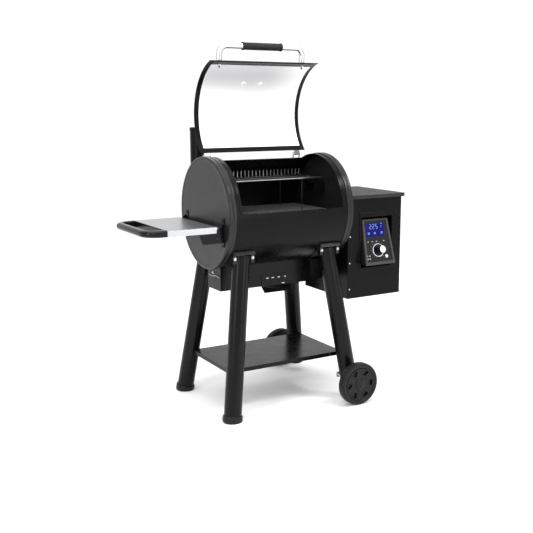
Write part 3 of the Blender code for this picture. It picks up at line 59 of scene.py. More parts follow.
aim = (Matrix.Rotation(PAN, 3, "Z") @ Matrix.Rotation(math.pi / 2 - TILT_DOWN, 3, "X")
       @ Matrix.Rotation(ROLL, 3, "Z"))
camera.rotation_euler = aim.to_euler()
camera.data.lens = 56.62
camera.data.sensor_width = 36.0
camera.data.shift_x = -0.0218
camera.data.shift_y = 0.0011
bpy.context.scene.camera = camera
bpy.context.scene.view_settings.view_transform = "Standard"


def linear(code):
    """sRGB hex to linear: c / 12.92 up to 0.04045, and ((c + 0.055) / 1.055) ** 2.4 above it."""
    c = np.array([int(code[i:i + 2], 16) for i in (1, 3, 5)]) / 255
    return (*np.where(c <= 0.04045, c / 12.92, ((c + 0.055) / 1.055) ** 2.4), 1.0)


def add(tree, kind, inputs=None, **settings):
    """Adds a shader node; settings are its properties, inputs its sockets' values or the outputs they take."""
    made = tree.nodes.new("ShaderNode" + kind)
    for key, value in settings.items():
        setattr(made, key, value)
    for key, value in (inputs or {}).items():
        if isinstance(value, bpy.types.NodeSocket):
            tree.links.new(value, made.inputs[key])
        else:
            made.inputs[key].default_value = value
    return made


def new_material(name):
    """Empty node material and its tree."""
    made = bpy.data.materials.new(name)
    made.use_nodes = True
    made.node_tree.nodes.clear()
    return made, made.node_tree


def shaded(made, tree, inputs):
    """Ends a material with one principled surface, fed by inputs."""
    body = add(tree, "BsdfPrincipled", inputs)
    add(tree, "OutputMaterial", {"Surface": body.outputs[0]})
    return made


def soft_panel(name, place, look_at, width, height, watts):
    """Rectangular soft light at a place, facing a point."""
    light = bpy.data.lights.new(name, "AREA")
    light.shape = "RECTANGLE"
    light.size, light.size_y, light.energy = width, height, watts
    panel = bpy.data.objects.new(name, light)
    bpy.context.scene.collection.objects.link(panel)
    panel.location = place
    panel.rotation_euler = (Vector(look_at) - Vector(place)).to_track_quat("-Z", "Y").to_euler()


soft_panel("overhead_panel", (-0.3, -0.4, 3.6), (0, 0, 0.6), 3.2, 3.2, 66)
soft_panel("left_panel", (-3.4, -1.4, 2.0), (0, 0, 0.7), 0.8, 2.6, 42)
soft_panel("inside_panel", (-1.5, -1.9, 2.3), (-0.05, 0.15, 0.95), 0.5, 0.5, 9)
soft_panel("rim_panel", (2.4, -2.1, 3.7), (0, 0, 0.9), 0.7, 0.7, 60)
soft_panel("front_panel", (1.6, -4.2, 1.6), (0.1, 0, 0.7), 0.7, 2.6, 30)

world = bpy.data.worlds.new("white_studio")
bpy.context.scene.world = world
world.use_nodes = True
world.node_tree.nodes["Background"].inputs["Color"].default_value = linear("#ffffff")
world.node_tree.nodes["Background"].inputs["Strength"].default_value = 1.05

floor_mesh = bpy.data.meshes.new("studio_floor")
floor_mesh.from_pydata([(-30, -30, 0), (30, -30, 0), (30, 30, 0), (-30, 30, 0)], [], [(0, 1, 2, 3)])
floor = bpy.data.objects.new("studio_floor", floor_mesh)
bpy.context.scene.collection.objects.link(floor)
floor_paint, tree = new_material("matt_white_seamless_paper")
shaded(floor_paint, tree, {"Base Color": linear("#ffffff"), "Roughness": 1.0, "Specular IOR Level": 0.0})
floor_mesh.materials.append(floor_paint)

# ---- barrel
# The cooking chamber: a rolled and welded steel sheet with a cut opening, closed at both ends by
# pressed discs whose beaded rims wrap the sheet and are spot welded to it. Powder coated black.
shell_low, shell_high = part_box("barrel_shell")
MID = (shell_low.x + shell_high.x) / 2
AXIS_Z = 0.850
SHELL_R, SHEET = 0.2357, 0.002
CAP_X, CAP_R, CAP_RIM = 0.3036, 0.2380, 0.032
OPENING = (0.246, -25.0, 86.2)          # half length, then its rear and front edge in degrees from the top


def quads(rows, columns, wrap_rows=False, wrap_columns=False):
    """Quads of a grid of points numbered row by row; a wrapped direction closes on itself."""
    i, j = np.meshgrid(np.arange(rows if wrap_rows else rows - 1),
                       np.arange(columns if wrap_columns else columns - 1), indexing="ij")
    right, below = (j + 1) % columns, (i + 1) % rows
    return np.stack([i * columns + j, below * columns + j, below * columns + right, i * columns + right],
                    -1).reshape(-1, 4)


def turned(profile, centre, axis, count=96):
    """Surface of revolution: at turn t a profile point (s, r) lies at centre + s*axis + r*(cos t*side + sin t*up).
    A profile that doesn't end on the axis closes on itself."""
    profile = np.asarray(profile, float)
    axis = np.asarray(axis, float) / np.linalg.norm(axis)
    side = np.cross(axis, [0.0, 0.0, 1.0] if abs(axis[2]) < 0.9 else [1.0, 0.0, 0.0])
    side /= np.linalg.norm(side)
    t = np.arange(count) * 2 * np.pi / count
    ring = np.cos(t)[:, None] * side + np.sin(t)[:, None] * np.cross(axis, side)
    points = (np.asarray(centre, float) + profile[:, 0, None, None] * axis
              + profile[:, 1, None, None] * ring[None])
    closed = profile[0, 1] > 1e-9
    return points.reshape(-1, 3), [quads(len(profile), count, closed, True)]


def softened(corners, radius, steps=4):
    """Polyline whose corners are quadratic curves: each leaves both of its sides `radius` from the corner."""
    p = np.asarray(corners, float)
    back, on = np.roll(p, 1, 0) - p, np.roll(p, -1, 0) - p
    long_back = np.maximum(np.linalg.norm(back, axis=1), 1e-12)
    long_on = np.maximum(np.linalg.norm(on, axis=1), 1e-12)
    cut = np.minimum(np.broadcast_to(radius, len(p)), 0.49 * np.minimum(long_back, long_on))
    start = p + back * (cut / long_back)[:, None]
    end = p + on * (cut / long_on)[:, None]
    s = np.linspace(0, 1, steps + 1)[None, :, None]
    curve = (1 - s) ** 2 * start[:, None] + 2 * s * (1 - s) * p[:, None] + s ** 2 * end[:, None]
    return curve.reshape(-1, p.shape[1])


def profile_line(points, radius, steps=3):
    """Open profile with softened corners and its two ends kept."""
    points = np.asarray(points, float)
    inner = np.full(len(points), radius)
    inner[[0, -1]] = 0
    return softened(points, inner, steps)


def pierced_sheet(us, vs, keep, place, wrap=False):
    """Sheet with faces place(u, v, 0) and place(u, v, 1) over the grid cells whose middle keep(u, v) accepts.
    A wall joins the two faces along every edge of a gap."""
    us, vs = np.asarray(us, float), np.asarray(vs, float)
    u, v = np.meshgrid(us, vs, indexing="ij")
    points = np.stack([place(u, v, 0), place(u, v, 1)]).reshape(-1, 3)
    rows, columns = len(us), len(vs)
    v_next = np.append(vs, vs[0] + 360)[1:] if wrap else vs[1:]
    v_here = vs if wrap else vs[:-1]
    mask = keep((us[:-1] + us[1:])[:, None] / 2, (v_here + v_next)[None, :] / 2)

    def number(i, j, side):
        return (side * rows + i) * columns + j % columns

    def present(i, j):
        inside = (i >= 0) & (i < mask.shape[0])
        if wrap:
            j = j % mask.shape[1]
        else:
            inside &= (j >= 0) & (j < mask.shape[1])
        return inside & mask[np.clip(i, 0, mask.shape[0] - 1), np.clip(j, 0, mask.shape[1] - 1)]

    i, j = np.nonzero(mask)
    loop = [(i, j), (i + 1, j), (i + 1, j + 1), (i, j + 1)]
    faces = [np.stack([number(a, b, 0) for a, b in loop], -1),
             np.stack([number(a, b, 1) for a, b in loop[::-1]], -1)]
    for k, (di, dj) in enumerate(((0, -1), (1, 0), (0, 1), (-1, 0))):
        gap = ~present(i + di, j + dj)
        (a, b), (c, d) = loop[k], loop[(k + 1) % 4]
        faces.append(np.stack([number(a, b, 1), number(c, d, 1), number(c, d, 0), number(a, b, 0)], -1)[gap])
    faces = np.concatenate(faces)
    used, faces = np.unique(faces, return_inverse=True)
    return points[used], [faces.reshape(-1, 4)]


def moved(shape, turn):
    """The shape with turn applied to its points."""
    return turn(shape[0]), shape[1]


def piece(name, shapes, material, body, replaces=(), crease=35.0):
    """One object out of several shapes, smooth except along edges sharper than crease, riding on a CAD body."""
    points, faces, start = [], [], 0
    for shape_points, shape_faces in shapes:
        points.append(shape_points)
        for block in shape_faces:
            faces += (np.asarray(block) + start).tolist() if np.ndim(block) == 2 else [[k + start for k in block]]
        start += len(shape_points)
    mesh = bpy.data.meshes.new(name)
    mesh.from_pydata(np.concatenate(points).tolist(), [], faces)
    clean = bmesh.new()
    clean.from_mesh(mesh)
    bmesh.ops.remove_doubles(clean, verts=clean.verts, dist=2e-7)
    bmesh.ops.dissolve_degenerate(clean, edges=clean.edges, dist=1e-7)
    bmesh.ops.recalc_face_normals(clean, faces=clean.faces)
    clean.to_mesh(mesh)
    clean.free()
    mesh.shade_smooth()
    mesh.set_sharp_from_angle(angle=math.radians(crease))
    mesh.materials.append(material)
    made = bpy.data.objects.new(name, mesh)
    bpy.context.scene.collection.objects.link(made)
    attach(made, body)
    if replaces:
        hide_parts(*replaces)
    return made


def powder_coat(name, colour, pale, rough, peel_mm, depth_mm, gloss):
    """Baked powder coat: an even skin with fine orange peel, and 70 mm hand smudges that change its sheen. gloss is
    its specular level, low because the matting agent scatters most of the surface reflection."""
    made, tree = new_material(name)
    where = add(tree, "TexCoord").outputs["Object"]
    smudge = add(tree, "TexNoise", {"Vector": where, "Scale": 1000 / 70, "Detail": 3.0})
    ramp = add(tree, "ValToRGB", {"Fac": smudge.outputs["Fac"]})
    ramp.color_ramp.elements[0].position, ramp.color_ramp.elements[0].color = 0.35, linear(colour)
    ramp.color_ramp.elements[1].position, ramp.color_ramp.elements[1].color = 0.75, linear(pale)
    sheen = add(tree, "MapRange", {"Value": smudge.outputs["Fac"], "From Min": 0.3, "From Max": 0.7,
                                   "To Min": rough - 0.04, "To Max": rough + 0.05})
    peel = add(tree, "TexNoise", {"Vector": where, "Scale": 1000 / peel_mm, "Detail": 2.0})
    bump = add(tree, "Bump", {"Height": peel.outputs["Fac"], "Strength": 0.25, "Distance": depth_mm / 1000})
    return shaded(made, tree, {"Base Color": ramp.outputs["Color"], "Roughness": sheen.outputs["Result"],
                               "Normal": bump.outputs["Normal"], "Specular IOR Level": gloss})


# high-heat powder coat: near black and satin, orange peel of 1.6 mm that only shows as a soft edge to highlights
barrel_coat = powder_coat("satin_black_high_heat_powder_coat", "#080808", "#0b0b0c", 0.28, 1.6, 0.006, 0.10)
# the same paint with a paler colour, on the pressed discs and the leg brackets: painted light, for the light their
# faces catch. Its orange peel is finer
paler_painted_coat = powder_coat("black_powder_coat_painted_paler", "#18181a", "#1c1c1d", 0.30, 0.9, 0.008, 0.26)


def across_x(p, s):
    """Outline in (y, z) at position s along X."""
    return np.stack([np.full(len(p), s), p[:, 0], p[:, 1]], -1)


def across_y(p, s):
    """Outline in (x, z) at position s along Y."""
    return np.stack([p[:, 0], np.full(len(p), s), p[:, 1]], -1)


def round_barrel(angle, radius):
    """(y, z) at an angle in degrees from the barrel's top towards the front."""
    t = np.radians(angle)
    return -radius * np.sin(t), AXIS_Z + radius * np.cos(t)


def barrel_skin(u, v, side):
    y, z = round_barrel(v, SHELL_R - SHEET * side)
    return np.stack([u, y, z], -1)


stub_x = MID - 0.190


def barrel_metal(u, v):
    """Where the rolled sheet is left: outside the opening, the burner hole and the smoke outlet."""
    x, turn = np.broadcast_arrays(u, v)
    opening = (abs(x - MID) < OPENING[0]) & (((turn > OPENING[1]) & (turn < OPENING[2])) | (turn > 360 + OPENING[1]))
    burner = (abs(x - MID) < 0.055) & (abs(turn - 180) < 13.4)
    outlet = (abs(x - stub_x) < 0.029) & (abs(turn - 293.7) < 8.0)
    return ~(opening | burner | outlet)


lengths = np.unique(np.round(MID + np.array([-0.3013, -0.246, -0.219, -0.161, -0.055, 0.055, 0.246, 0.3013]), 6))
angles = np.unique(np.round(np.concatenate([np.arange(0, 360, 2.5), [86.2, 166.6, 193.4, 285.7, 301.7, 335.0]]), 4))
piece("barrel_drum", [pierced_sheet(lengths, angles, barrel_metal, barrel_skin, wrap=True)],
      barrel_coat, "frame", ["barrel_shell"])


def arc_band(low_x, high_x, start, end, inner, outer, edge=0.0006, step=1.5):
    """Curved bar round the barrel's axis: an arc between two radii pushed along X, its edges rounded."""
    angle = np.linspace(start, end, max(2, int(abs(end - start) / step) + 1))
    out = np.stack(round_barrel(angle, outer), -1)
    back = np.stack(round_barrel(angle[::-1], inner), -1)
    return prism(np.concatenate([out, back]), low_x, high_x, across_x, edge)


def prism(outline, low, high, place, edge=0.0006, steps=3):
    """Outline pushed from low to high. Over the last `edge` at each end it is drawn in by edge*(1 - sin a) and
    rises by edge*(1 - cos a), for a from 0 to 90 degrees, so that its rims are quarter rounds."""
    p = np.asarray(outline, float)
    area = np.sum(p[:, 0] * np.roll(p[:, 1], -1) - np.roll(p[:, 0], -1) * p[:, 1])
    ahead = np.roll(p, -1, 0) - p
    out = np.stack([ahead[:, 1], -ahead[:, 0]], -1) * np.sign(area)
    out /= np.maximum(np.linalg.norm(out, axis=1, keepdims=True), 1e-12)
    out = out + np.roll(out, 1, 0)
    out /= np.maximum(np.sum(out * out, axis=1, keepdims=True), 0.5) / 2
    a = np.linspace(0, np.pi / 2, steps + 1)
    inset, rise = edge * (1 - np.sin(a)), edge * (1 - np.cos(a))
    rings = [place(p - out * d, s) for d, s in zip(np.concatenate([inset, inset[::-1]]),
                                                   np.concatenate([low + rise, high - rise[::-1]]))]
    count, rows = len(p), len(rings)
    return np.concatenate(rings), [quads(rows, count, False, True), list(range(count))[::-1],
                                   list(range((rows - 1) * count, rows * count))]


# raised seats either side of the opening, on which the closed lid rests
for side, word in ((-1, "left"), (1, "right")):
    low, high = sorted((MID + side * 0.254, MID + side * 0.2648))
    piece("lid_seat_" + word, [arc_band(low, high, -25, 86, SHELL_R - 0.0005, SHELL_R + 0.0002, 0.0003)],
          barrel_coat, "frame")

rim = CAP_X - CAP_RIM
cap_profile = profile_line([
    (CAP_X - SHEET, 0), (CAP_X - SHEET, SHELL_R + 0.0003), (rim, SHELL_R + 0.0003), (rim, CAP_R - 0.0006),
    (rim + 0.0016, CAP_R + 0.0013), (rim + 0.0108, CAP_R + 0.0013), (rim + 0.0130, CAP_R - 0.0006),
    (rim + 0.0165, CAP_R - 0.0006), (rim + 0.0185, CAP_R + 0.0013), (rim + 0.0295, CAP_R + 0.0013),
    (CAP_X, CAP_R - 0.0025), (CAP_X, CAP_R - 0.012), (CAP_X - 0.0008, CAP_R - 0.016), (CAP_X - 0.0008, 0)],
    0.0016, 4)
# the end discs take the paler coat: their paler colour is painted light
for side, word in ((-1, "left"), (1, "right")):
    piece(word + "_end_disc", [turned(cap_profile, (MID, 0, AXIS_Z), (side, 0, 0), 180)],
          paler_painted_coat, "frame", [word + "_end_cap"], crease=50)


def dome(place, axis, radius, height, count=20):
    """Low button head: r = radius*cos a and s = height*sin a, for a from 0 to 90 degrees."""
    a = np.linspace(0, np.pi / 2, 6)
    arc = np.stack([height * np.sin(a), radius * np.cos(a)], -1)
    arc[-1, 1] = 0
    return turned(np.concatenate([[(-0.0006, 0), (-0.0006, radius)], arc]), place, axis, count)


def hex_screw(place, axis, flats, height, washer=0.0):
    """Hexagon head with a chamfered top, standing on a washer where one is asked for."""
    corner = flats / math.sqrt(3)
    head = [(-0.0006, 0), (-0.0006, corner), (height * 0.8, corner), (height, corner * 0.86), (height, 0)]
    base = np.asarray(place, float)
    unit = np.asarray(axis, float) / np.linalg.norm(axis)
    shapes = []
    if washer:
        shapes.append(turned([(-0.0006, 0), (-0.0006, washer), (0.0012, washer), (0.0012, 0)], base, axis, 24))
        base = base + unit * 0.0012
    return shapes + [turned(head, base, axis, 6)]


wall_x = MID - CAP_X + 0.0008
marks = [dome((wall_x, 0.1275, 0.969), (-1, 0, 0), 0.0032, 0.0010),
         dome((wall_x, 0.0220, 0.968), (-1, 0, 0), 0.0032, 0.0010),
         dome((wall_x, 0.0105, 0.931), (-1, 0, 0), 0.0042, 0.0012)]


def surface(name, colour, rough, cloud, grain=None, **more):
    """Material whose roughness drifts between the two values of rough over soft clouds; cloud = (size in mm, detail).
    grain = (size in mm, detail, strength, depth in mm) adds a fine bump. The other inputs go in as named."""
    made, tree = new_material(name)
    where = add(tree, "TexCoord").outputs["Object"]
    drift = add(tree, "TexNoise", {"Vector": where, "Scale": 1000 / cloud[0], "Detail": cloud[1]})
    level = add(tree, "MapRange", {"Value": drift.outputs["Fac"], "To Min": rough[0], "To Max": rough[1]})
    inputs = {"Base Color": linear(colour), "Roughness": level.outputs["Result"]}
    inputs.update({key.replace("_", " "): value for key, value in more.items()})
    if grain:
        size, detail, strength, depth = grain
        fine = add(tree, "TexNoise", {"Vector": where, "Scale": 1000 / size, "Detail": detail})
        bump = add(tree, "Bump", {"Height": fine.outputs["Fac"], "Strength": strength, "Distance": depth / 1000})
        inputs["Normal"] = bump.outputs["Normal"]
    return shaded(made, tree, inputs)


# zinc plate: the faint cloudy bloom that plating leaves, about 6 mm across, over a fine 0.7 mm grain
PLATING = {"cloud": (6, 3.0), "grain": (0.7, 1.0, 0.2, 0.01), "Metallic": 1.0}
bright_zinc = surface("bright_zinc_plated_steel", "#c3c5c8", (0.22, 0.40), **PLATING)
black_zinc = surface("black_zinc_plated_steel", "#3a3a3c", (0.30, 0.48), **PLATING)
piece("disc_plugs", marks, black_zinc, "frame")

# ---- lid
# A rolled outer skin, powder coated, with a hemmed edge; a brushed stainless liner riveted inside it;
# a bent stainless tube bolted on as the handle, with a fluted rubber sleeve. It is drawn shut and then swung open.
hinge = next(j for j in frame["joints"] if j["name"] == "lid_hinge")
LID_PIVOT = np.array(hinge["pos_m"])
LID_SWING = math.radians(-hinge["range_deg"][1])
LID_R, LID_HALF, LINER_HALF = 0.2367, 0.2657, 0.2445
LID_ARC = (-27.0, 87.2)


def swung_open(points):
    """Turns points about the lid's hinge line: y' = y cos a - z sin a and z' = y sin a + z cos a."""
    y, z = points[:, 1] - LID_PIVOT[1], points[:, 2] - LID_PIVOT[2]
    c, s = math.cos(LID_SWING), math.sin(LID_SWING)
    return np.stack([points[:, 0], LID_PIVOT[1] + y * c - z * s, LID_PIVOT[2] + y * s + z * c], -1)


def brushed_steel(name, colour, rough, along, grain_mm=0.5):
    """Brushed stainless: hairlines `grain_mm` wide run along one axis; they modulate the roughness and a fine bump."""
    made, tree = new_material(name)
    where = add(tree, "TexCoord").outputs["Object"]
    stretch = [1000 / grain_mm] * 3
    stretch["xyz".index(along)] = 1000 / (grain_mm * 120)
    lines = add(tree, "Mapping", {"Vector": where, "Scale": stretch})
    hair = add(tree, "TexNoise", {"Vector": lines.outputs[0], "Scale": 1.0, "Detail": 2.0})
    level = add(tree, "MapRange", {"Value": hair.outputs["Fac"], "From Min": 0.3, "From Max": 0.7,
                                   "To Min": rough - 0.05, "To Max": rough + 0.07})
    bump = add(tree, "Bump", {"Height": hair.outputs["Fac"], "Strength": 0.25, "Distance": 0.00002})
    return shaded(made, tree, {"Base Color": linear(colour), "Metallic": 1.0, "Roughness": level.outputs["Result"],
                               "Normal": bump.outputs["Normal"]})


def moulded(name, colour, rough):
    """Moulded rubber or plastic: a dull skin with a fine 0.8 mm tooth, and 30 mm clouds of handling wear."""
    return surface(name, colour, (rough - 0.08, rough + 0.08), (30, 2.0), (0.8, 2.0, 0.3, 0.03),
                   Specular_IOR_Level=0.22)


liner_steel = brushed_steel("brushed_stainless_liner", "#f4f4f5", 0.50, "x")
tube_steel = brushed_steel("satin_stainless_tube", "#cfd0d2", 0.27, "x", 0.3)

# the folded hem is coloured mid grey, paler and rougher than the outer coat
fold_coat = powder_coat("mid_grey_lid_hem_coat", "#3a3a3b", "#424243", 0.45, 0.9, 0.018, 0.30)

skin = arc_band(MID - LID_HALF, MID + LID_HALF, *LID_ARC, LID_R, LID_R + SHEET, 0.0009)
hems = [arc_band(MID - LID_HALF, MID + LID_HALF, LID_ARC[1] - 1.6, LID_ARC[1], LID_R - 0.0006, LID_R + SHEET + 0.0002),
        arc_band(MID - LID_HALF, MID + LID_HALF, LID_ARC[0], LID_ARC[0] + 1.6, LID_R - 0.0006, LID_R + SHEET + 0.0002)]
piece("lid_skin", [moved(s, swung_open) for s in [skin] + hems], barrel_coat, "lid", ["lid_shell"])
fold = arc_band(MID - LINER_HALF, MID + LINER_HALF, 81.2, 85.6, LID_R - 0.0028, LID_R + 0.0002, 0.0008, 0.5)
piece("lid_front_fold", [moved(fold, swung_open)], fold_coat, "lid")
LINER_R, LINER_T = 0.2352, 0.0012
liner = arc_band(MID - LINER_HALF, MID + LINER_HALF, -21.5, 79.3, LINER_R - LINER_T, LINER_R, 0.0006)
piece("lid_lining", [moved(liner, swung_open)], liner_steel, "lid", ["lid_liner"])


def lid_point(x, angle, radius):
    """Point of the open lid that lies at this angle and radius when the lid is shut."""
    y, z = round_barrel(angle, radius)
    return swung_open(np.array([[x, y, z]]))[0]


def lid_inward(x, angle):
    """Direction from the open lid's skin to its hollow side."""
    return lid_point(x, angle, 0.1) - lid_point(x, angle, 0.2)


inner = LINER_R - LINER_T
FOOT_ANGLE, NUT_ANGLE = 76.1, 50.9
NUTS_X = (MID - 0.046, MID + 0.038)
fixings = []
for x in (MID - 0.204, MID + 0.204):
    fixings += hex_screw(lid_point(x, FOOT_ANGLE, inner), lid_inward(x, FOOT_ANGLE), 0.008, 0.004)
piece("handle_screws", fixings, black_zinc, "lid")
nuts = []
washers = []
for x in NUTS_X:
    place, way = lid_point(x, NUT_ANGLE, inner), lid_inward(x, NUT_ANGLE)
    washers.append(turned([(-0.0006, 0), (-0.0006, 0.0085), (0.0012, 0.0085), (0.0016, 0.0080), (0.0016, 0)],
                          place, way, 32))
    nuts += hex_screw(lid_point(x, NUT_ANGLE, inner - 0.0014), way, 0.0078, 0.0036)
    nuts.append(dome(lid_point(x, NUT_ANGLE, inner - 0.0048), way, 0.0036, 0.0042))
white_nylon = moulded("moulded_white_nylon_washer", "#ffffff", 0.50)
piece("acorn_nut_washers", washers, white_nylon, "lid")
piece("acorn_nuts", nuts, bright_zinc, "lid")


def rods(paths, radius, sides=10, normal=(1, 0, 0)):
    """Round bars: each path point carries a circle radius*(cos t*n + sin t*b), with n the path plane's fixed normal
    and b = tangent x n. paths has the shape (bars, points, 3)."""
    paths = np.asarray(paths, float)
    tangent = np.gradient(paths, axis=1)
    tangent /= np.linalg.norm(tangent, axis=2, keepdims=True)
    n = np.broadcast_to(np.asarray(normal, float), paths.shape)
    b = np.cross(tangent, n)
    b /= np.linalg.norm(b, axis=2, keepdims=True)
    t = (np.arange(sides) + 0.5) * 2 * np.pi / sides
    ring = np.cos(t)[:, None] * n[:, :, None] + np.sin(t)[:, None] * b[:, :, None]
    points = paths[:, :, None] + radius * ring
    bars, rows = paths.shape[:2]
    one = quads(rows, sides, False, True)
    starts = np.arange(bars)[:, None, None] * rows * sides
    faces = [(one[None] + starts).reshape(-1, 4)]
    caps = np.arange(bars)[:, None] * rows * sides
    faces.append(caps + np.arange(sides)[None, ::-1])
    faces.append(caps + (rows - 1) * sides + np.arange(sides)[None])
    return points.reshape(-1, 3), faces


HANDLE_R, HANDLE_HALF, HANDLE_BEND = 0.013, 0.204, 0.034
bar_y, bar_z = round_barrel(84.5, 0.3105)
foot_y, foot_z = round_barrel(FOOT_ANGLE, LID_R + SHEET - 0.0005)
lead = np.array([0, bar_y - foot_y, bar_z - foot_z])
reach = np.linalg.norm(lead)
lead /= reach
bend = np.linspace(0, np.pi / 2, 14)[:, None]
foot = np.array([MID - HANDLE_HALF, foot_y, foot_z])
corner = foot + lead * (reach - HANDLE_BEND) + np.array([HANDLE_BEND, 0, 0])
arm = np.concatenate([foot + lead * np.linspace(0, reach - HANDLE_BEND, 8)[:-1, None],
                      corner - np.array([HANDLE_BEND, 0, 0]) * np.cos(bend) + lead * HANDLE_BEND * np.sin(bend)])
mirrored = arm[::-1] * [-1, 1, 1] + [2 * MID, 0, 0]
across = np.cross([1.0, 0, 0], lead)
tube = rods([swung_open(np.concatenate([arm, mirrored]))], HANDLE_R, 32,
            swung_open(across[None] + LID_PIVOT)[0] - LID_PIVOT)
collar_line = [(-0.0004, 0), (-0.0004, 0.0185), (0.002, 0.0185), (0.0035, 0.0150), (0.0035, 0)]
outward = (0, -math.sin(math.radians(FOOT_ANGLE)), math.cos(math.radians(FOOT_ANGLE)))
collars = [moved(turned(collar_line, (x, foot_y, foot_z), outward, 40), swung_open)
           for x in (MID - HANDLE_HALF, MID + HANDLE_HALF)]
piece("handle_tube", [tube], tube_steel, "lid", ["lid_handle"])
piece("handle_collars", collars, tube_steel, "lid")

grip_rubber = moulded("moulded_grip_rubber", "#0a0a0b", 0.34)
half_sleeve = np.array([(0.0860, 0.0158), (0.0885, 0.0160), (0.0905, 0.0172), (0.0935, 0.0176), (0.0960, 0.0172),
                        (0.0970, 0.0160), (0.0970, 0.0131)])
sleeve = softened(np.concatenate([half_sleeve[::-1] * [-1, 1], half_sleeve]), 0.0008, 3)
sleeve_points, sleeve_faces = turned(sleeve, (MID, bar_y, bar_z), (1, 0, 0), 168)
spoke = sleeve_points[:, 1:] - [bar_y, bar_z]
ridge = 0.045 * np.clip((0.0890 - abs(sleeve_points[:, 0] - MID)) / 0.002, 0, 1) * (np.hypot(*spoke.T) > 0.0150)
wave = 0.5 - 0.5 * np.cos(14 * np.arctan2(spoke[:, 1], spoke[:, 0]))
sleeve_points[:, 1:] = [bar_y, bar_z] + spoke * (1 - ridge * wave ** 2)[:, None]
piece("grip_sleeve", [moved((sleeve_points, sleeve_faces), swung_open)],
      grip_rubber, "lid", ["handle_sleeve"], crease=60)

# a plain raised plate on the outside of the lid, held by the two acorn nuts
PLATE_T, PLATE_MARGIN = 0.0022, 0.016
plate = arc_band(NUTS_X[0] - PLATE_MARGIN, NUTS_X[1] + PLATE_MARGIN, NUT_ANGLE - 4, NUT_ANGLE + 4,
                 LID_R + SHEET, LID_R + SHEET + PLATE_T, 0.0008)
piece("plain_lid_plate", [moved(plate, swung_open)], tube_steel, "lid")


def dress(node, material, edge=0.0008):
    """Gives a CAD piece its material, and rounds its edges: its loose triangles are welded and then bevelled."""
    part = frame["nodes"][node]
    part.data.materials.clear()
    part.data.materials.append(material)
    weld = part.modifiers.new("weld", "WELD")
    weld.merge_threshold = 0.00002
    if edge:
        bevel = part.modifiers.new("edge_round", "BEVEL")
        bevel.width = edge
        bevel.segments = 2
        bevel.limit_method = "ANGLE"
        bevel.angle_limit = math.radians(40)
        bevel.harden_normals = True
    return part


for word in ("left", "right"):
    dress("lid_hinge_foot_" + word, bright_zinc, 0.0005)
    dress("lid_hinge_leaf_" + word, bright_zinc, 0.0005)
hinge_screws = []
for x in (MID - 0.229, MID + 0.229):
    for step in (-0.008, 0.008):
        y, z = round_barrel(-35.5, 0.2385)
        hinge_screws.append(dome((x + step, y, z), (0, y, z - AXIS_Z), 0.0032, 0.0018))
piece("hinge_rivets", hinge_screws, bright_zinc, "frame")

# ---- stack
# A black round flue with a pressed lipped cap, welded to a short square-sided stub that bolts to the barrel.
FLUE = (MID - 0.190, 0.285)
FLUE_R = 0.038
WINDOW_Z, WINDOW_HALF = (1.140, 1.180), math.degrees(math.asin(0.020 / 0.038))


def flue_wall(u, v, side):
    """Pipe wall: at height u and turn v from the rear, radius FLUE_R outside and FLUE_R - SHEET inside."""
    radius, t = FLUE_R - SHEET * side, np.radians(v)
    return np.stack([FLUE[0] + radius * np.sin(t), FLUE[1] + radius * np.cos(t), u], -1)


def flue_metal(u, v):
    """Everywhere but the smoke window in the rear of the pipe, below the cap."""
    return ~((u > WINDOW_Z[0]) & (u < WINDOW_Z[1]) & (abs((v + 180) % 360 - 180) < WINDOW_HALF))


flue_turns = np.sort(np.append(np.arange(0, 360, 5.0), [WINDOW_HALF, 360 - WINDOW_HALF]))
flue = pierced_sheet([0.907, *WINDOW_Z, 1.196], flue_turns, flue_metal, flue_wall, wrap=True)
flue_floor = turned([(0.905, 0), (0.905, FLUE_R), (0.9072, FLUE_R), (0.9072, 0)], (*FLUE, 0), (0, 0, 1), 64)
stub = prism(softened([(FLUE[0] - 0.032, 0.909), (FLUE[0] + 0.032, 0.909), (FLUE[0] + 0.032, 0.979),
                       (FLUE[0] - 0.032, 0.979)], 0.006), 0.212, FLUE[1] - 0.02, across_y, 0.001)
piece("flue_pipe", [flue, flue_floor, stub], barrel_coat, "frame", ["exhaust_stack"])
cap_line = profile_line([(1.202, 0), (1.202, FLUE_R + 0.0003), (1.188, FLUE_R + 0.0003), (1.188, FLUE_R + 0.0015),
                         (1.2005, FLUE_R + 0.0015), (1.204, FLUE_R - 0.004), (1.204, 0)], 0.0018, 4)
piece("flue_cap", [turned(cap_line, (*FLUE, 0), (0, 0, 1), 64)], barrel_coat, "frame")

# ---- legs and feet
# Splayed steel tubes, powder coated, each bolted up into a saddle bracket; the left pair stand in moulded cups.
LEG_R, COPE_R = 0.0375, 0.2400


def leg_axis(side_x, side_y, z):
    """Point on a leg's axis at a height."""
    return np.array([MID + side_x * (0.3055 - 0.137 * z), side_y * (0.2405 - 0.1206 * z), z])


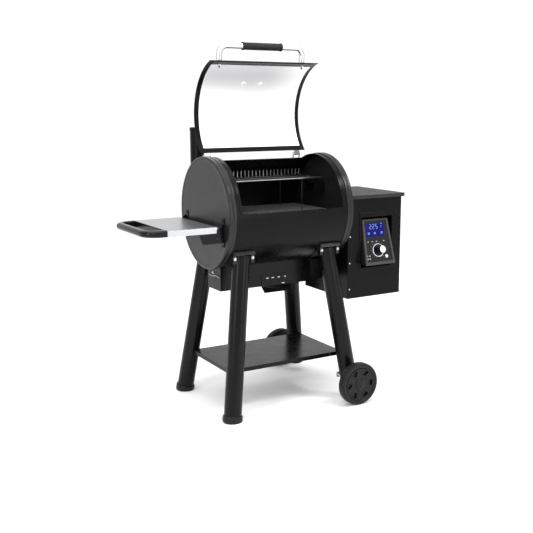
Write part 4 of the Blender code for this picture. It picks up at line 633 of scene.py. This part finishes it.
def leg_tube(side_x, side_y, bottom, top, wall=0.002):
    """Tube whose upper end is coped: at each turn the bar runs up until y**2 + (z - AXIS_Z)**2 = COPE_R**2."""
    base, head = leg_axis(side_x, side_y, bottom), leg_axis(side_x, side_y, top)
    run = np.linalg.norm(head - base)
    axis = (head - base) / run
    side = np.cross(axis, [0.0, 1.0, 0.0])
    side /= np.linalg.norm(side)
    t = np.arange(72) * 2 * np.pi / 72
    ring = np.cos(t)[:, None] * side + np.sin(t)[:, None] * np.cross(axis, side)
    columns = []
    for radius in (LEG_R, LEG_R - wall):
        start = base + radius * ring
        y, z = start[:, 1], start[:, 2] - AXIS_Z
        a, b = axis[1] ** 2 + axis[2] ** 2, y * axis[1] + z * axis[2]
        inside = b * b - a * (y * y + z * z - COPE_R ** 2)
        hit = (-b - np.sqrt(np.maximum(inside, 0))) / a
        stop = np.where(inside > 0, np.minimum(hit, run), run)
        columns.append(start[None] + np.linspace(0, 1, 12)[:, None, None] * stop[:, None] * axis)
    points = np.concatenate([columns[0], columns[1][::-1]])
    plug = turned([(0, 0), (0, LEG_R - 0.0002), (0.003, LEG_R - 0.0002), (0.003, 0)], base, axis, 72)
    return [(points.reshape(-1, 3), [quads(len(points), 72, True, True)]), plug]


def foot_cup(side_x, side_y):
    """Moulded cup turned about the leg's axis, with every point below the floor lifted to it: z = max(z, 0)."""
    base = leg_axis(side_x, side_y, 0)
    line = profile_line([(-0.012, 0), (-0.012, 0.0365), (0.000, 0.0410), (0.005, 0.0425), (0.0150, 0.0425),
                         (0.0165, 0.0416), (0.0180, 0.0425), (0.0245, 0.0420), (0.026, 0.0408), (0.026, 0.0378),
                         (0.0092, 0.0378), (0.009, 0)], 0.0012, 3)
    points, faces = turned(line, base, leg_axis(side_x, side_y, 1) - base, 72)
    points[:, 2] = np.maximum(points[:, 2], 0)
    return points, faces


frame_coat = powder_coat("satin_black_frame_powder_coat", "#080808", "#0b0b0c", 0.26, 1.4, 0.003, 0.16)
cup_plastic = moulded("moulded_black_nylon", "#111112", 0.42)
for sx, word_x, bottom in ((-1, "left", 0.0095), (1, "right", 0.045)):
    for sy, word_y in ((-1, "front"), (1, "rear")):
        place = word_y + "_" + word_x
        piece("stand_tube_" + place, leg_tube(sx, sy, bottom, 0.6835), frame_coat, "frame",
              ["leg_" + place])
        if sx < 0:
            piece("cup_" + place, [foot_cup(sx, sy)], cup_plastic, "frame", ["foot_" + place])
        # the leg brackets take the paler coat: their paler colour is painted light
        dress("leg_bracket_" + place, paler_painted_coat, 0.0008)
        screws = []
        middle = leg_axis(sx, sy, 0.669)[0]
        for way in (-1, 1):
            screws += hex_screw((middle + way * 0.0418, sy * 0.1850, 0.676), (0, sy, 0), 0.0085, 0.0040, 0.0065)
        piece("bracket_screws_" + place, screws, bright_zinc, "frame")

# ---- bottom shelf
# One folded sheet notched round the legs, powder coated and screwed to them.
dress("bottom_shelf", frame_coat, 0.0012)
shelf_screws = []
for sx in (-1, 1):
    for sy in (-1, 1):
        shelf_screws.append(dome((MID + sx * 0.2255, sy * 0.1797, 0.194), (0, sy, 0), 0.0045, 0.0025))
piece("bottom_shelf_screws", shelf_screws, black_zinc, "frame")

# ---- wheels
# Blow-moulded black wheels with a beaded tyre band, six pockets in the web and a domed hub, on plated stub axles.
WHEEL_R, WHEEL_W, WHEEL_FACE = 0.0945, 0.040, 0.355
wheel_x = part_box("axle_front")[0].x + 0.013
wheel_plastic = moulded("blow_moulded_black_polyethylene", "#0c0c0d", 0.34)
WEB_FACE, WEB_BACK = WHEEL_FACE - 0.0045, WHEEL_FACE - 0.0165
POCKET_DEPTH, POCKET_MID, POCKET_HALF = 0.0080, 0.054, 0.0115


def wheel(side):
    """Tyre band, hub, and a web whose outer layer is pierced by six pockets over a closed back layer."""
    centre = (wheel_x, 0, WHEEL_R)
    inner, face = WHEEL_FACE - WHEEL_W, WHEEL_FACE
    band = softened([(inner, 0.072), (inner, 0.086), (inner + 0.003, 0.0915), (inner + 0.006, 0.0938),
                     (inner + 0.011, 0.0945), (inner + 0.0125, 0.0925), (inner + 0.0145, 0.0925),
                     (inner + 0.016, 0.0945), (face - 0.016, 0.0945), (face - 0.0145, 0.0925),
                     (face - 0.0125, 0.0925), (face - 0.011, 0.0945),
                     (face - 0.006, 0.0938), (face - 0.002, 0.0905), (face, 0.0865), (face, 0.0835),
                     (face - 0.0015, 0.0790), (face - 0.0040, 0.0745), (face - 0.0065, 0.0700),
                     (inner + 0.012, 0.0700)], 0.0016, 3)
    hub = profile_line([(inner, 0), (inner, 0.022), (WEB_BACK, 0.024), (WEB_FACE - 0.003, 0.0300),
                        (WEB_FACE + 0.0005, 0.0270), (face - 0.0020, 0.0215), (face - 0.0006, 0.0130), (face, 0)],
                       0.0030, 4)

    def pocket_half(radius):
        """Half width in degrees: 6.5 at the pocket's inner end to 15.5 at its outer end, its ends rounded off by the
        factor (1 - |s|**5) ** 0.2, where s runs from -1 to 1 along the pocket."""
        along = np.clip((radius - POCKET_MID) / POCKET_HALF, -1, 1)
        return np.maximum((11.0 + 4.5 * along) * (1 - abs(along) ** 5) ** 0.2, 1.2)

    def web_metal(u, v):
        radius, turn = np.broadcast_arrays(u, v)
        return ~((radius > 0.0425) & (radius < 0.0655) & (abs((turn + 30) % 60 - 30) < 10))

    def web_place(u, v, layer):
        local = (v + 30) % 60 - 30
        half, size = pocket_half(u), abs(local)
        bent = np.where(size < 10, size * half / 10, half + (size - 10) / 20 * (30 - half)) * np.sign(local)
        t = np.radians(v - local + bent + 90)
        depth = POCKET_DEPTH * (1 - layer if side > 0 else layer)
        y = side * (WEB_FACE - depth - 0.0010 * np.cos((u - 0.024) / 0.048 * np.pi))
        return np.stack([wheel_x + u * np.sin(t), np.broadcast_to(y, u.shape), WHEEL_R + u * np.cos(t)], -1)

    radii = np.concatenate([np.linspace(0.022, 0.0425, 4),
                            POCKET_MID - POCKET_HALF * np.cos(np.linspace(0, np.pi, 17))[1:-1],
                            np.linspace(0.0655, 0.0712, 3)])
    sector = np.array([-10, -6.7, -3.3, 0, 3.3, 6.7, 10, 15, 20, 25, 30, 35, 40, 45])
    turns = np.concatenate([k * 60 + sector for k in range(6)])
    web = pierced_sheet(radii, turns, web_metal, web_place, wrap=True)
    pocket_floor = WEB_FACE - POCKET_DEPTH
    back = turned([(WEB_BACK, 0.022), (WEB_BACK, 0.0712), (pocket_floor, 0.0712), (pocket_floor, 0.022)],
                  centre, (0, side, 0), 96)
    return [turned(band, centre, (0, side, 0), 120), turned(hub, centre, (0, side, 0), 64), web, back]


for side, word in ((-1, "front"), (1, "rear")):
    piece("road_wheel_" + word, wheel(side), wheel_plastic, "wheel_" + word, ["wheel_" + word])
for word in ("front", "rear"):
    dress("axle_" + word, bright_zinc, 0.0004)

# ---- side shelf
# A folded and brushed stainless tray on two pins between wall brackets, with a gloss moulded loop grip.
shelf_steel = brushed_steel("brushed_stainless_shelf", "#b2b3b5", 0.32, "y", 0.5)
dress("side_shelf", shelf_steel, 0.0022)
for word in ("front", "rear"):
    dress("shelf_bracket_" + word, frame_coat, 0.0006)
SHELF_TOP = 0.816
SHELF_END = MID - 0.551
GRIP_X = (SHELF_END - 0.095, SHELF_END - 0.0003)


def loop_outline(left, right, half, radius):
    """Plan of the grip: a rectangle whose two outer corners are rounded to `radius`."""
    t = np.linspace(0, np.pi / 2, 14)
    near = np.stack([left + radius - radius * np.sin(t), -half + radius - radius * np.cos(t)], -1)
    far = np.stack([near[::-1, 0], -near[::-1, 1]], -1)
    return np.concatenate([[(right, -half)], near, far, [(right, half)]])


def loop_grip():
    """Ring between two plan outlines; round the section each outline is drawn in by r*(1 - sin a) near its rims."""
    outer = loop_outline(*GRIP_X, 0.185, 0.062)
    hole = loop_outline(GRIP_X[0] + 0.028, GRIP_X[1] - 0.006, 0.155, 0.036)
    a = np.linspace(0, np.pi / 2, 9)
    low, high = SHELF_TOP + 0.002 - 0.028, SHELF_TOP + 0.002

    def drawn(outline, inset, z):
        x = np.where(outline[:, 0] < outline[:, 0].max() - 1e-6, outline[:, 0] + inset, outline[:, 0])
        y = outline[:, 1] - np.sign(outline[:, 1]) * inset
        return np.stack([x, y, np.full(len(x), z)], -1)

    soft, small = 0.0125, 0.006
    rings = [drawn(outer, soft * (1 - math.sin(k)), low + soft * (1 - math.cos(k))) for k in a]
    rings += [drawn(outer, soft * (1 - math.sin(k)), high - soft * (1 - math.cos(k))) for k in a[::-1]]
    rings += [drawn(hole, -small * (1 - math.sin(k)), high - small * (1 - math.cos(k))) for k in a]
    rings += [drawn(hole, -small * (1 - math.sin(k)), low + small * (1 - math.cos(k))) for k in a[::-1]]
    points = np.concatenate(rings)
    return points, [quads(len(rings), len(outer), True, True)]


# injection-moulded gloss nylon: deep black, with a faint 3 mm flow waviness
grip_plastic = surface("gloss_moulded_black_nylon", "#070708", (0.11, 0.22), (25, 2.0), (3, 1.0, 0.1, 0.03),
                       Specular_IOR_Level=0.20)
piece("shelf_loop_grip", [loop_grip()], grip_plastic, "side_shelf", ["shelf_grip"], crease=60)
bracket_screws = []
for y in (-0.1745, 0.1745):
    for z in (0.733, 0.8385):
        bracket_screws += hex_screw((MID - 0.3064, y, z), (-1, 0, 0), 0.0065, 0.0030)
for y, way in ((-0.1876, -1), (0.1876, 1)):
    bracket_screws += hex_screw((MID - 0.3375, y, 0.770), (0, way, 0), 0.0075, 0.0035)
piece("shelf_bracket_screws", bracket_screws, black_zinc, "frame")

# ---- fire box
# Folded sheet box under the barrel, powder coated, with a pull-out ash drawer; the burner stands inside.
dress("fire_box", frame_coat, 0.0010)


def bar_shape(x, z, width, height, depth=(-0.0016, -0.0010)):
    """Small flat bar facing -Y, centred at (x, z)."""
    outline = [(x - width / 2, z - height / 2), (x + width / 2, z - height / 2),
               (x + width / 2, z + height / 2), (x - width / 2, z + height / 2)]
    return prism(softened(outline, min(width, height) * 0.3, 2), *depth, across_y, 0.0001, 1)


dress("ash_drawer", frame_coat, 0.0008)
box_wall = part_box("fire_box")[0].x
piece("fire_box_bolt", hex_screw((box_wall, 0.0067, 0.5896), (-1, 0, 0), 0.009, 0.004, 0.007), bright_zinc, "frame")
wire_y = np.linspace(0.040, -0.057, 25)
sag = 0.5780 + 0.0030 * np.sin((wire_y + 0.057) / 0.097 * 2 * np.pi)
clip = np.stack([box_wall - 0.0030 - 0.0020 * np.sin((wire_y + 0.057) / 0.097 * np.pi), wire_y, sag], -1)
piece("fire_box_wire", [rods([clip], 0.0016, 10, (1, 0, 0))], bright_zinc, "frame")
DRAWER_FACE = -0.0633
# painted highlights: flat bright plated dashes on the drawer front, standing in for light caught along the top edges of
# its frame
HIGHLIGHT_DASHES = ((-0.0325, 0.552, 0.012), (-0.005, 0.552, 0.012), (0.025, 0.552, 0.012), (0.0575, 0.552, 0.010),
              (0.0475, 0.523, 0.014))
highlight_dashes = [bar_shape(MID + x, z, wide, 0.0034, (DRAWER_FACE - 0.0004, DRAWER_FACE + 0.0004))
          for x, z, wide in HIGHLIGHT_DASHES]
piece("drawer_painted_highlights", highlight_dashes, bright_zinc, "ash_drawer")


def bare_steel(name, colour, rough, heat):
    """Mill-finish steel that has been hot: grey metal with 40 mm clouds of brown heat tint, `heat` deep."""
    made, tree = new_material(name)
    where = add(tree, "TexCoord").outputs["Object"]
    cloud = add(tree, "TexNoise", {"Vector": where, "Scale": 1000 / 40, "Detail": 4.0})
    ramp = add(tree, "ValToRGB", {"Fac": cloud.outputs["Fac"]})
    ramp.color_ramp.elements[0].position, ramp.color_ramp.elements[0].color = 0.40, linear(colour)
    ramp.color_ramp.elements[1].position, ramp.color_ramp.elements[1].color = 0.72, linear(heat)
    level = add(tree, "MapRange", {"Value": cloud.outputs["Fac"], "To Min": rough - 0.10, "To Max": rough + 0.12})
    return shaded(made, tree, {"Base Color": ramp.outputs["Color"], "Metallic": 1.0,
                               "Roughness": level.outputs["Result"]})


mill_steel = bare_steel("mill_finish_steel_with_heat_tint", "#8d8e90", 0.42, "#6f6455")
for node in ("fire_pot", "igniter_rod", "auger_tube", "auger_motor", "pellet_bin", "auger_screw"):
    dress(node, mill_steel, 0.0)
for node in ("heat_diffuser", "drip_tray"):
    dress(node, mill_steel, 0.0008)

# ---- grates and rack
# Porcelain-coated wire grates on folded ledges, and a plated warming rack with turned-up rear ends.

# porcelain enamel on wire: dark and glassy, with 2 mm pooling that softens its highlights
wire_enamel = surface("porcelain_coated_wire", "#58585a", (0.30, 0.30), (30, 2.0), (2.0, 2.0, 0.3, 0.05))
rack_plate = brushed_steel("nickel_plated_wire", "#8f9093", 0.30, "y", 0.4)
GRATE_Z, GRATE_Y, ROD, GRATE_BARS = 0.838, 0.220, 0.0025, 18
for side, word in ((-1, "left"), (1, "right")):
    xs = MID + side * (0.0015 + ROD + np.linspace(0, 0.2795 - 2 * ROD, GRATE_BARS))
    ys = np.linspace(-GRATE_Y, GRATE_Y, 2)
    bars = np.stack([np.repeat(xs[:, None], 2, 1), np.repeat(ys[None], GRATE_BARS, 0),
                     np.full((GRATE_BARS, 2), GRATE_Z)], -1)
    ends = np.sort(MID + side * np.array([0.0015, 0.281]))
    cross = np.array([[[ends[0], y, GRATE_Z - 0.0006], [ends[1], y, GRATE_Z - 0.0006]] for y in (-0.210, 0.0, 0.210)])
    piece("wire_grate_" + word, [rods(bars, ROD, 10, (1, 0, 0)), rods(cross, ROD - 0.0003, 10, (0, 1, 0))],
          wire_enamel, "frame", ["cooking_grate_" + word])

RACK_Z, RACK_BARS = 0.980, 29
xs = MID + np.linspace(-0.2695, 0.2695, RACK_BARS)
turn_up = np.linspace(0, np.pi / 2, 6)
path_y = np.concatenate([[-0.035], 0.1545 + 0.008 * np.sin(turn_up), [0.1625]])
path_z = np.concatenate([[RACK_Z], RACK_Z + 0.008 * (1 - np.cos(turn_up)), [RACK_Z + 0.0285]])
bars = np.stack([np.repeat(xs[:, None], len(path_y), 1), np.repeat(path_y[None], RACK_BARS, 0),
                 np.repeat(path_z[None], RACK_BARS, 0)], -1)
cross = np.array([[[MID - 0.272, y, RACK_Z - drop], [MID + 0.272, y, RACK_Z - drop]]
                  for y, drop in ((-0.0325, 0.0), (0.065, 0.001), (0.150, 0.001))])
posts = np.array([[[MID + x, y, GRATE_Z + 0.0028], [MID + x, y, RACK_Z]] for x in (-0.164, 0.164)
                  for y in (-0.0325, 0.1575)])
piece("wire_warming_rack", [rods(bars, 0.0022, 8, (1, 0, 0)), rods(cross, 0.0024, 10, (0, 1, 0))],
      rack_plate, "frame", ["warming_rack"])
piece("rack_posts", [rods(posts, 0.0022, 10, (1, 0, 0))], black_zinc, "frame")
for word in ("left", "right"):
    dress("grate_ledge_" + word, frame_coat, 0.0004)
dress("temperature_probe", black_zinc, 0.0005)

# ---- hopper
# Folded and powder coated cabinet with a pressed frame round the controls, a hemmed lid on a piano hinge,
# a blower and a mains inlet at the back. Blind rivets close its left seam.
dress("hopper_cabinet", barrel_coat, 0.0014)
# the hopper lid's top is painted a lighter grey: painted sheen, for the light its upward face reflects. Its coat is
# also rougher, with a coarser texture
hopper_lid_sheen_coat = powder_coat("hopper_lid_coat_painted_sheen", "#262524", "#2c2b2a", 0.50, 1.1, 0.050, 0.16)
dress("hopper_lid", hopper_lid_sheen_coat, 0.0018)
dress("hopper_hinge", bright_zinc, 0.0)
for node in ("blower_frame", "fan_rotor", "power_inlet"):
    dress(node, cup_plastic, 0.0006)
front_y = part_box("hopper_lid")[0].y + 0.010
rivets = [dome((MID + 0.3155, front_y, z), (0, -1, 0), 0.0036, 0.0014) for z in (0.7247, 0.6049, 0.486)]
piece("cabinet_rivets", rivets, bright_zinc, "frame")

# ---- controller
# A wedge housing with a sloping face: raised rim, printed film, blue display, ring and knob, and one button.
PANEL_FOOT = np.array([MID + 0.4575, -0.236, 0.594])
PANEL_TILT = math.radians(-15.3)


def on_panel(points):
    """From panel coordinates (across, depth, up the face) to the grill: a turn about X, then a shift."""
    y, z = points[:, 1], points[:, 2]
    c, s = math.cos(PANEL_TILT), math.sin(PANEL_TILT)
    return np.stack([points[:, 0], y * c - z * s, y * s + z * c], -1) + PANEL_FOOT


housing_plastic = moulded("moulded_black_abs", "#131314", 0.45)
bezel_plastic = moulded("moulded_dark_grey_abs", "#3a3a3b", 0.42)
dress("controller_case", housing_plastic, 0.0010)
dress("control_panel", bezel_plastic, 0.0012)


def lit(name, colour, strength, base="#101018"):
    """Lit part of the display: a clear cover over an evenly glowing layer."""
    made, tree = new_material(name)
    return shaded(made, tree, {"Base Color": linear(base), "Roughness": 0.18, "Specular IOR Level": 0.12,
                               "Emission Color": linear(colour), "Emission Strength": strength})


# screen-printed polyester film: flat, with a soft gloss
FILM = {"rough": (0.22, 0.34), "cloud": (12, 2.0), "Specular_IOR_Level": 0.25}
film = surface("screen_printed_black_film", "#141413", **FILM)
face = prism(softened([(-0.0698, 0.0142), (0.0698, 0.0142), (0.0596, 0.2025), (-0.0596, 0.2025)], 0.004),
             -0.0006, -0.0001, across_y, 0.0001, 1)
piece("control_face_film", [moved(face, on_panel)], film, "frame")
glow_blue = lit("backlit_blue_display", "#12158a", 0.62, "#05051a")
screen = prism(softened([(-0.0625, 0.1286), (0.0445, 0.1286), (0.0445, 0.1907), (-0.0625, 0.1907)], 0.002),
               -0.0012, 0.004, across_y, 0.0004)
piece("backlit_screen", [moved(screen, on_panel)], glow_blue, "frame", ["display"])

glow_pale = lit("lit_display_segments", "#8fb4ff", 1.1)
SEGMENTS = {"2": "abged", "5": "afgcd", "0": "abcdef"}


def digit(symbol, x, z, wide, tall, thick):
    """Seven-segment numeral of flat bars."""
    places = {"a": (0, 1, 1), "b": (1, 0.5, 0), "c": (1, -0.5, 0), "d": (0, -1, 1), "e": (-1, -0.5, 0),
              "f": (-1, 0.5, 0), "g": (0, 0, 1)}
    shapes = []
    for name in SEGMENTS[symbol]:
        px, pz, flat = places[name]
        size = (wide - thick * 1.3, thick) if flat else (thick, tall / 2 - thick * 0.9)
        shapes.append(bar_shape(x + px * wide / 2, z + pz * tall / 2, *size))
    return shapes


readout = []
for k, symbol in enumerate("225"):
    readout += digit(symbol, -0.0285 + k * 0.0165, 0.1735, 0.0090, 0.0210, 0.0024)
for x in (-0.042, -0.009, 0.0295):
    readout += [bar_shape(x, 0.1470, 0.0115, 0.0016), bar_shape(x, 0.1400, 0.0115, 0.0016),
                bar_shape(x - 0.0040, 0.1435, 0.0016, 0.0080), bar_shape(x + 0.0040, 0.1435, 0.0016, 0.0080),
                bar_shape(x, 0.1435, 0.0030, 0.0030)]
readout += [bar_shape(0.034, 0.1870, 0.0095, 0.0016), bar_shape(0.034, 0.1835, 0.0060, 0.0016),
            bar_shape(0.030, 0.1745, 0.0050, 0.0016), bar_shape(0.030, 0.1685, 0.0050, 0.0016)]
piece("display_readout", [moved(s, on_panel) for s in readout], glow_pale, "frame")

print_grey = surface("screen_printed_pale_ink", "#9a9ca4", **FILM)
INK = (-0.0010, -0.0005)
marks = [bar_shape(x, 0.106, 0.0075, 0.0036, INK) for x in (-0.052, -0.029, -0.006, 0.035)]
marks += [bar_shape(x, z, 0.0060, 0.0055, INK) for x, z in ((-0.0660, 0.0425), (-0.0535, 0.0425),
                                                            (-0.0650, 0.0290), (-0.0535, 0.0290))]
turn_marks = np.radians(np.arange(-135, 136, 22.5))
DIAL = np.array([-0.003, 0.0, 0.0653])
marks += [bar_shape(DIAL[0] + 0.0385 * math.sin(t), DIAL[2] + 0.0385 * math.cos(t), 0.0018, 0.0018, INK)
          for t in turn_marks]
piece("printed_marks", [moved(s, on_panel) for s in marks], print_grey, "frame")

# polished die-cast zinc under chrome, with a very slight 8 mm unevenness
chrome = surface("chromed_die_cast_zinc", "#e6e7ea", (0.27, 0.35), (8, 1.0), Metallic=1.0)
ring_line = softened([(-0.0024, 0.0268), (-0.0036, 0.0278), (-0.0034, 0.0296), (-0.0003, 0.0310), (-0.0003, 0.0264)],
                     0.0006, 3)
piece("dial_bezel", [moved(turned(ring_line, DIAL, (0, 1, 0), 96), on_panel)], chrome, "frame",
      ["dial_ring"])
glow_ring = turned(softened([(-0.0016, 0.0232), (-0.0016, 0.0256), (-0.0004, 0.0256), (-0.0004, 0.0232)], 0.0004, 2),
                   DIAL, (0, 1, 0), 96)
glow_dim = lit("dim_blue_light_ring", "#12166e", 0.5)
piece("dial_light", [moved(glow_ring, on_panel)], glow_dim, "frame")

knob_line = profile_line([(-0.0372, 0), (-0.0372, 0.0158), (-0.0364, 0.0164), (-0.0300, 0.0160), (-0.0080, 0.0163),
                          (-0.0030, 0.0172), (-0.0012, 0.0172), (-0.0012, 0.0035), (0.016, 0.0035), (0.016, 0)],
                         0.0006, 3)
knob_points, knob_faces = turned(knob_line, DIAL, (0, 1, 0), 108)
t = np.arctan2(knob_points[:, 2] - DIAL[2], knob_points[:, 0] - DIAL[0])
radial = np.hypot(knob_points[:, 2] - DIAL[2], knob_points[:, 0] - DIAL[0])
grooved = np.clip((radial - 0.0145) / 0.001, 0, 1) * np.clip((knob_points[:, 1] + 0.0355) / 0.003, 0, 1)
shrink = 1 - 0.035 * grooved * (0.5 + 0.5 * np.cos(t * 18)) ** 2
knob_points[:, 0] = DIAL[0] + (knob_points[:, 0] - DIAL[0]) * shrink
knob_points[:, 2] = DIAL[2] + (knob_points[:, 2] - DIAL[2]) * shrink
piece("fluted_knob", [moved((knob_points, knob_faces), on_panel)], grip_plastic, "knob", ["control_knob"],
      crease=50)
disc_line = profile_line([(-0.0368, 0), (-0.0368, 0.0156), (-0.0380, 0.0156), (-0.0385, 0.0135), (-0.0385, 0)],
                         0.0005, 3)
pointer = prism([(-0.0009, 0.0090), (0.0009, 0.0090), (0.0009, 0.0145), (-0.0009, 0.0145)] + DIAL[[0, 2]],
                -0.0388, -0.0380, across_y, 0.0001, 1)
piece("knob_cap_disc", [moved(turned(disc_line, DIAL, (0, 1, 0), 64), on_panel)], chrome, "knob")
piece("knob_pointer", [moved(pointer, on_panel)], film, "knob")

button_plastic = lit("frosted_lavender_button", "#a8a8f0", 0.30, "#c8cce8")
button_line = profile_line([(-0.0030, 0), (-0.0030, 0.0066), (-0.0016, 0.0079), (0.006, 0.0079), (0.006, 0)], 0.0009, 3)
piece("start_button", [moved(turned(button_line, (0.0395, 0, 0.0350), (0, 1, 0), 48), on_panel)], button_plastic,
      "button", ["power_button"])


def circuit(name):
    """Solder-masked board: green lacquer over 1.5 mm tracks."""
    made, tree = new_material(name)
    where = add(tree, "TexCoord").outputs["Object"]
    tracks = add(tree, "TexBrick", {"Vector": where, "Scale": 1000 / 12, "Color1": linear("#0f4a2a"),
                                    "Color2": linear("#0d3f25"), "Mortar": linear("#2f7a4a")})
    return shaded(made, tree, {"Base Color": tracks.outputs["Color"], "Roughness": 0.35})


dress("circuit_board", circuit("solder_masked_board"), 0.0)
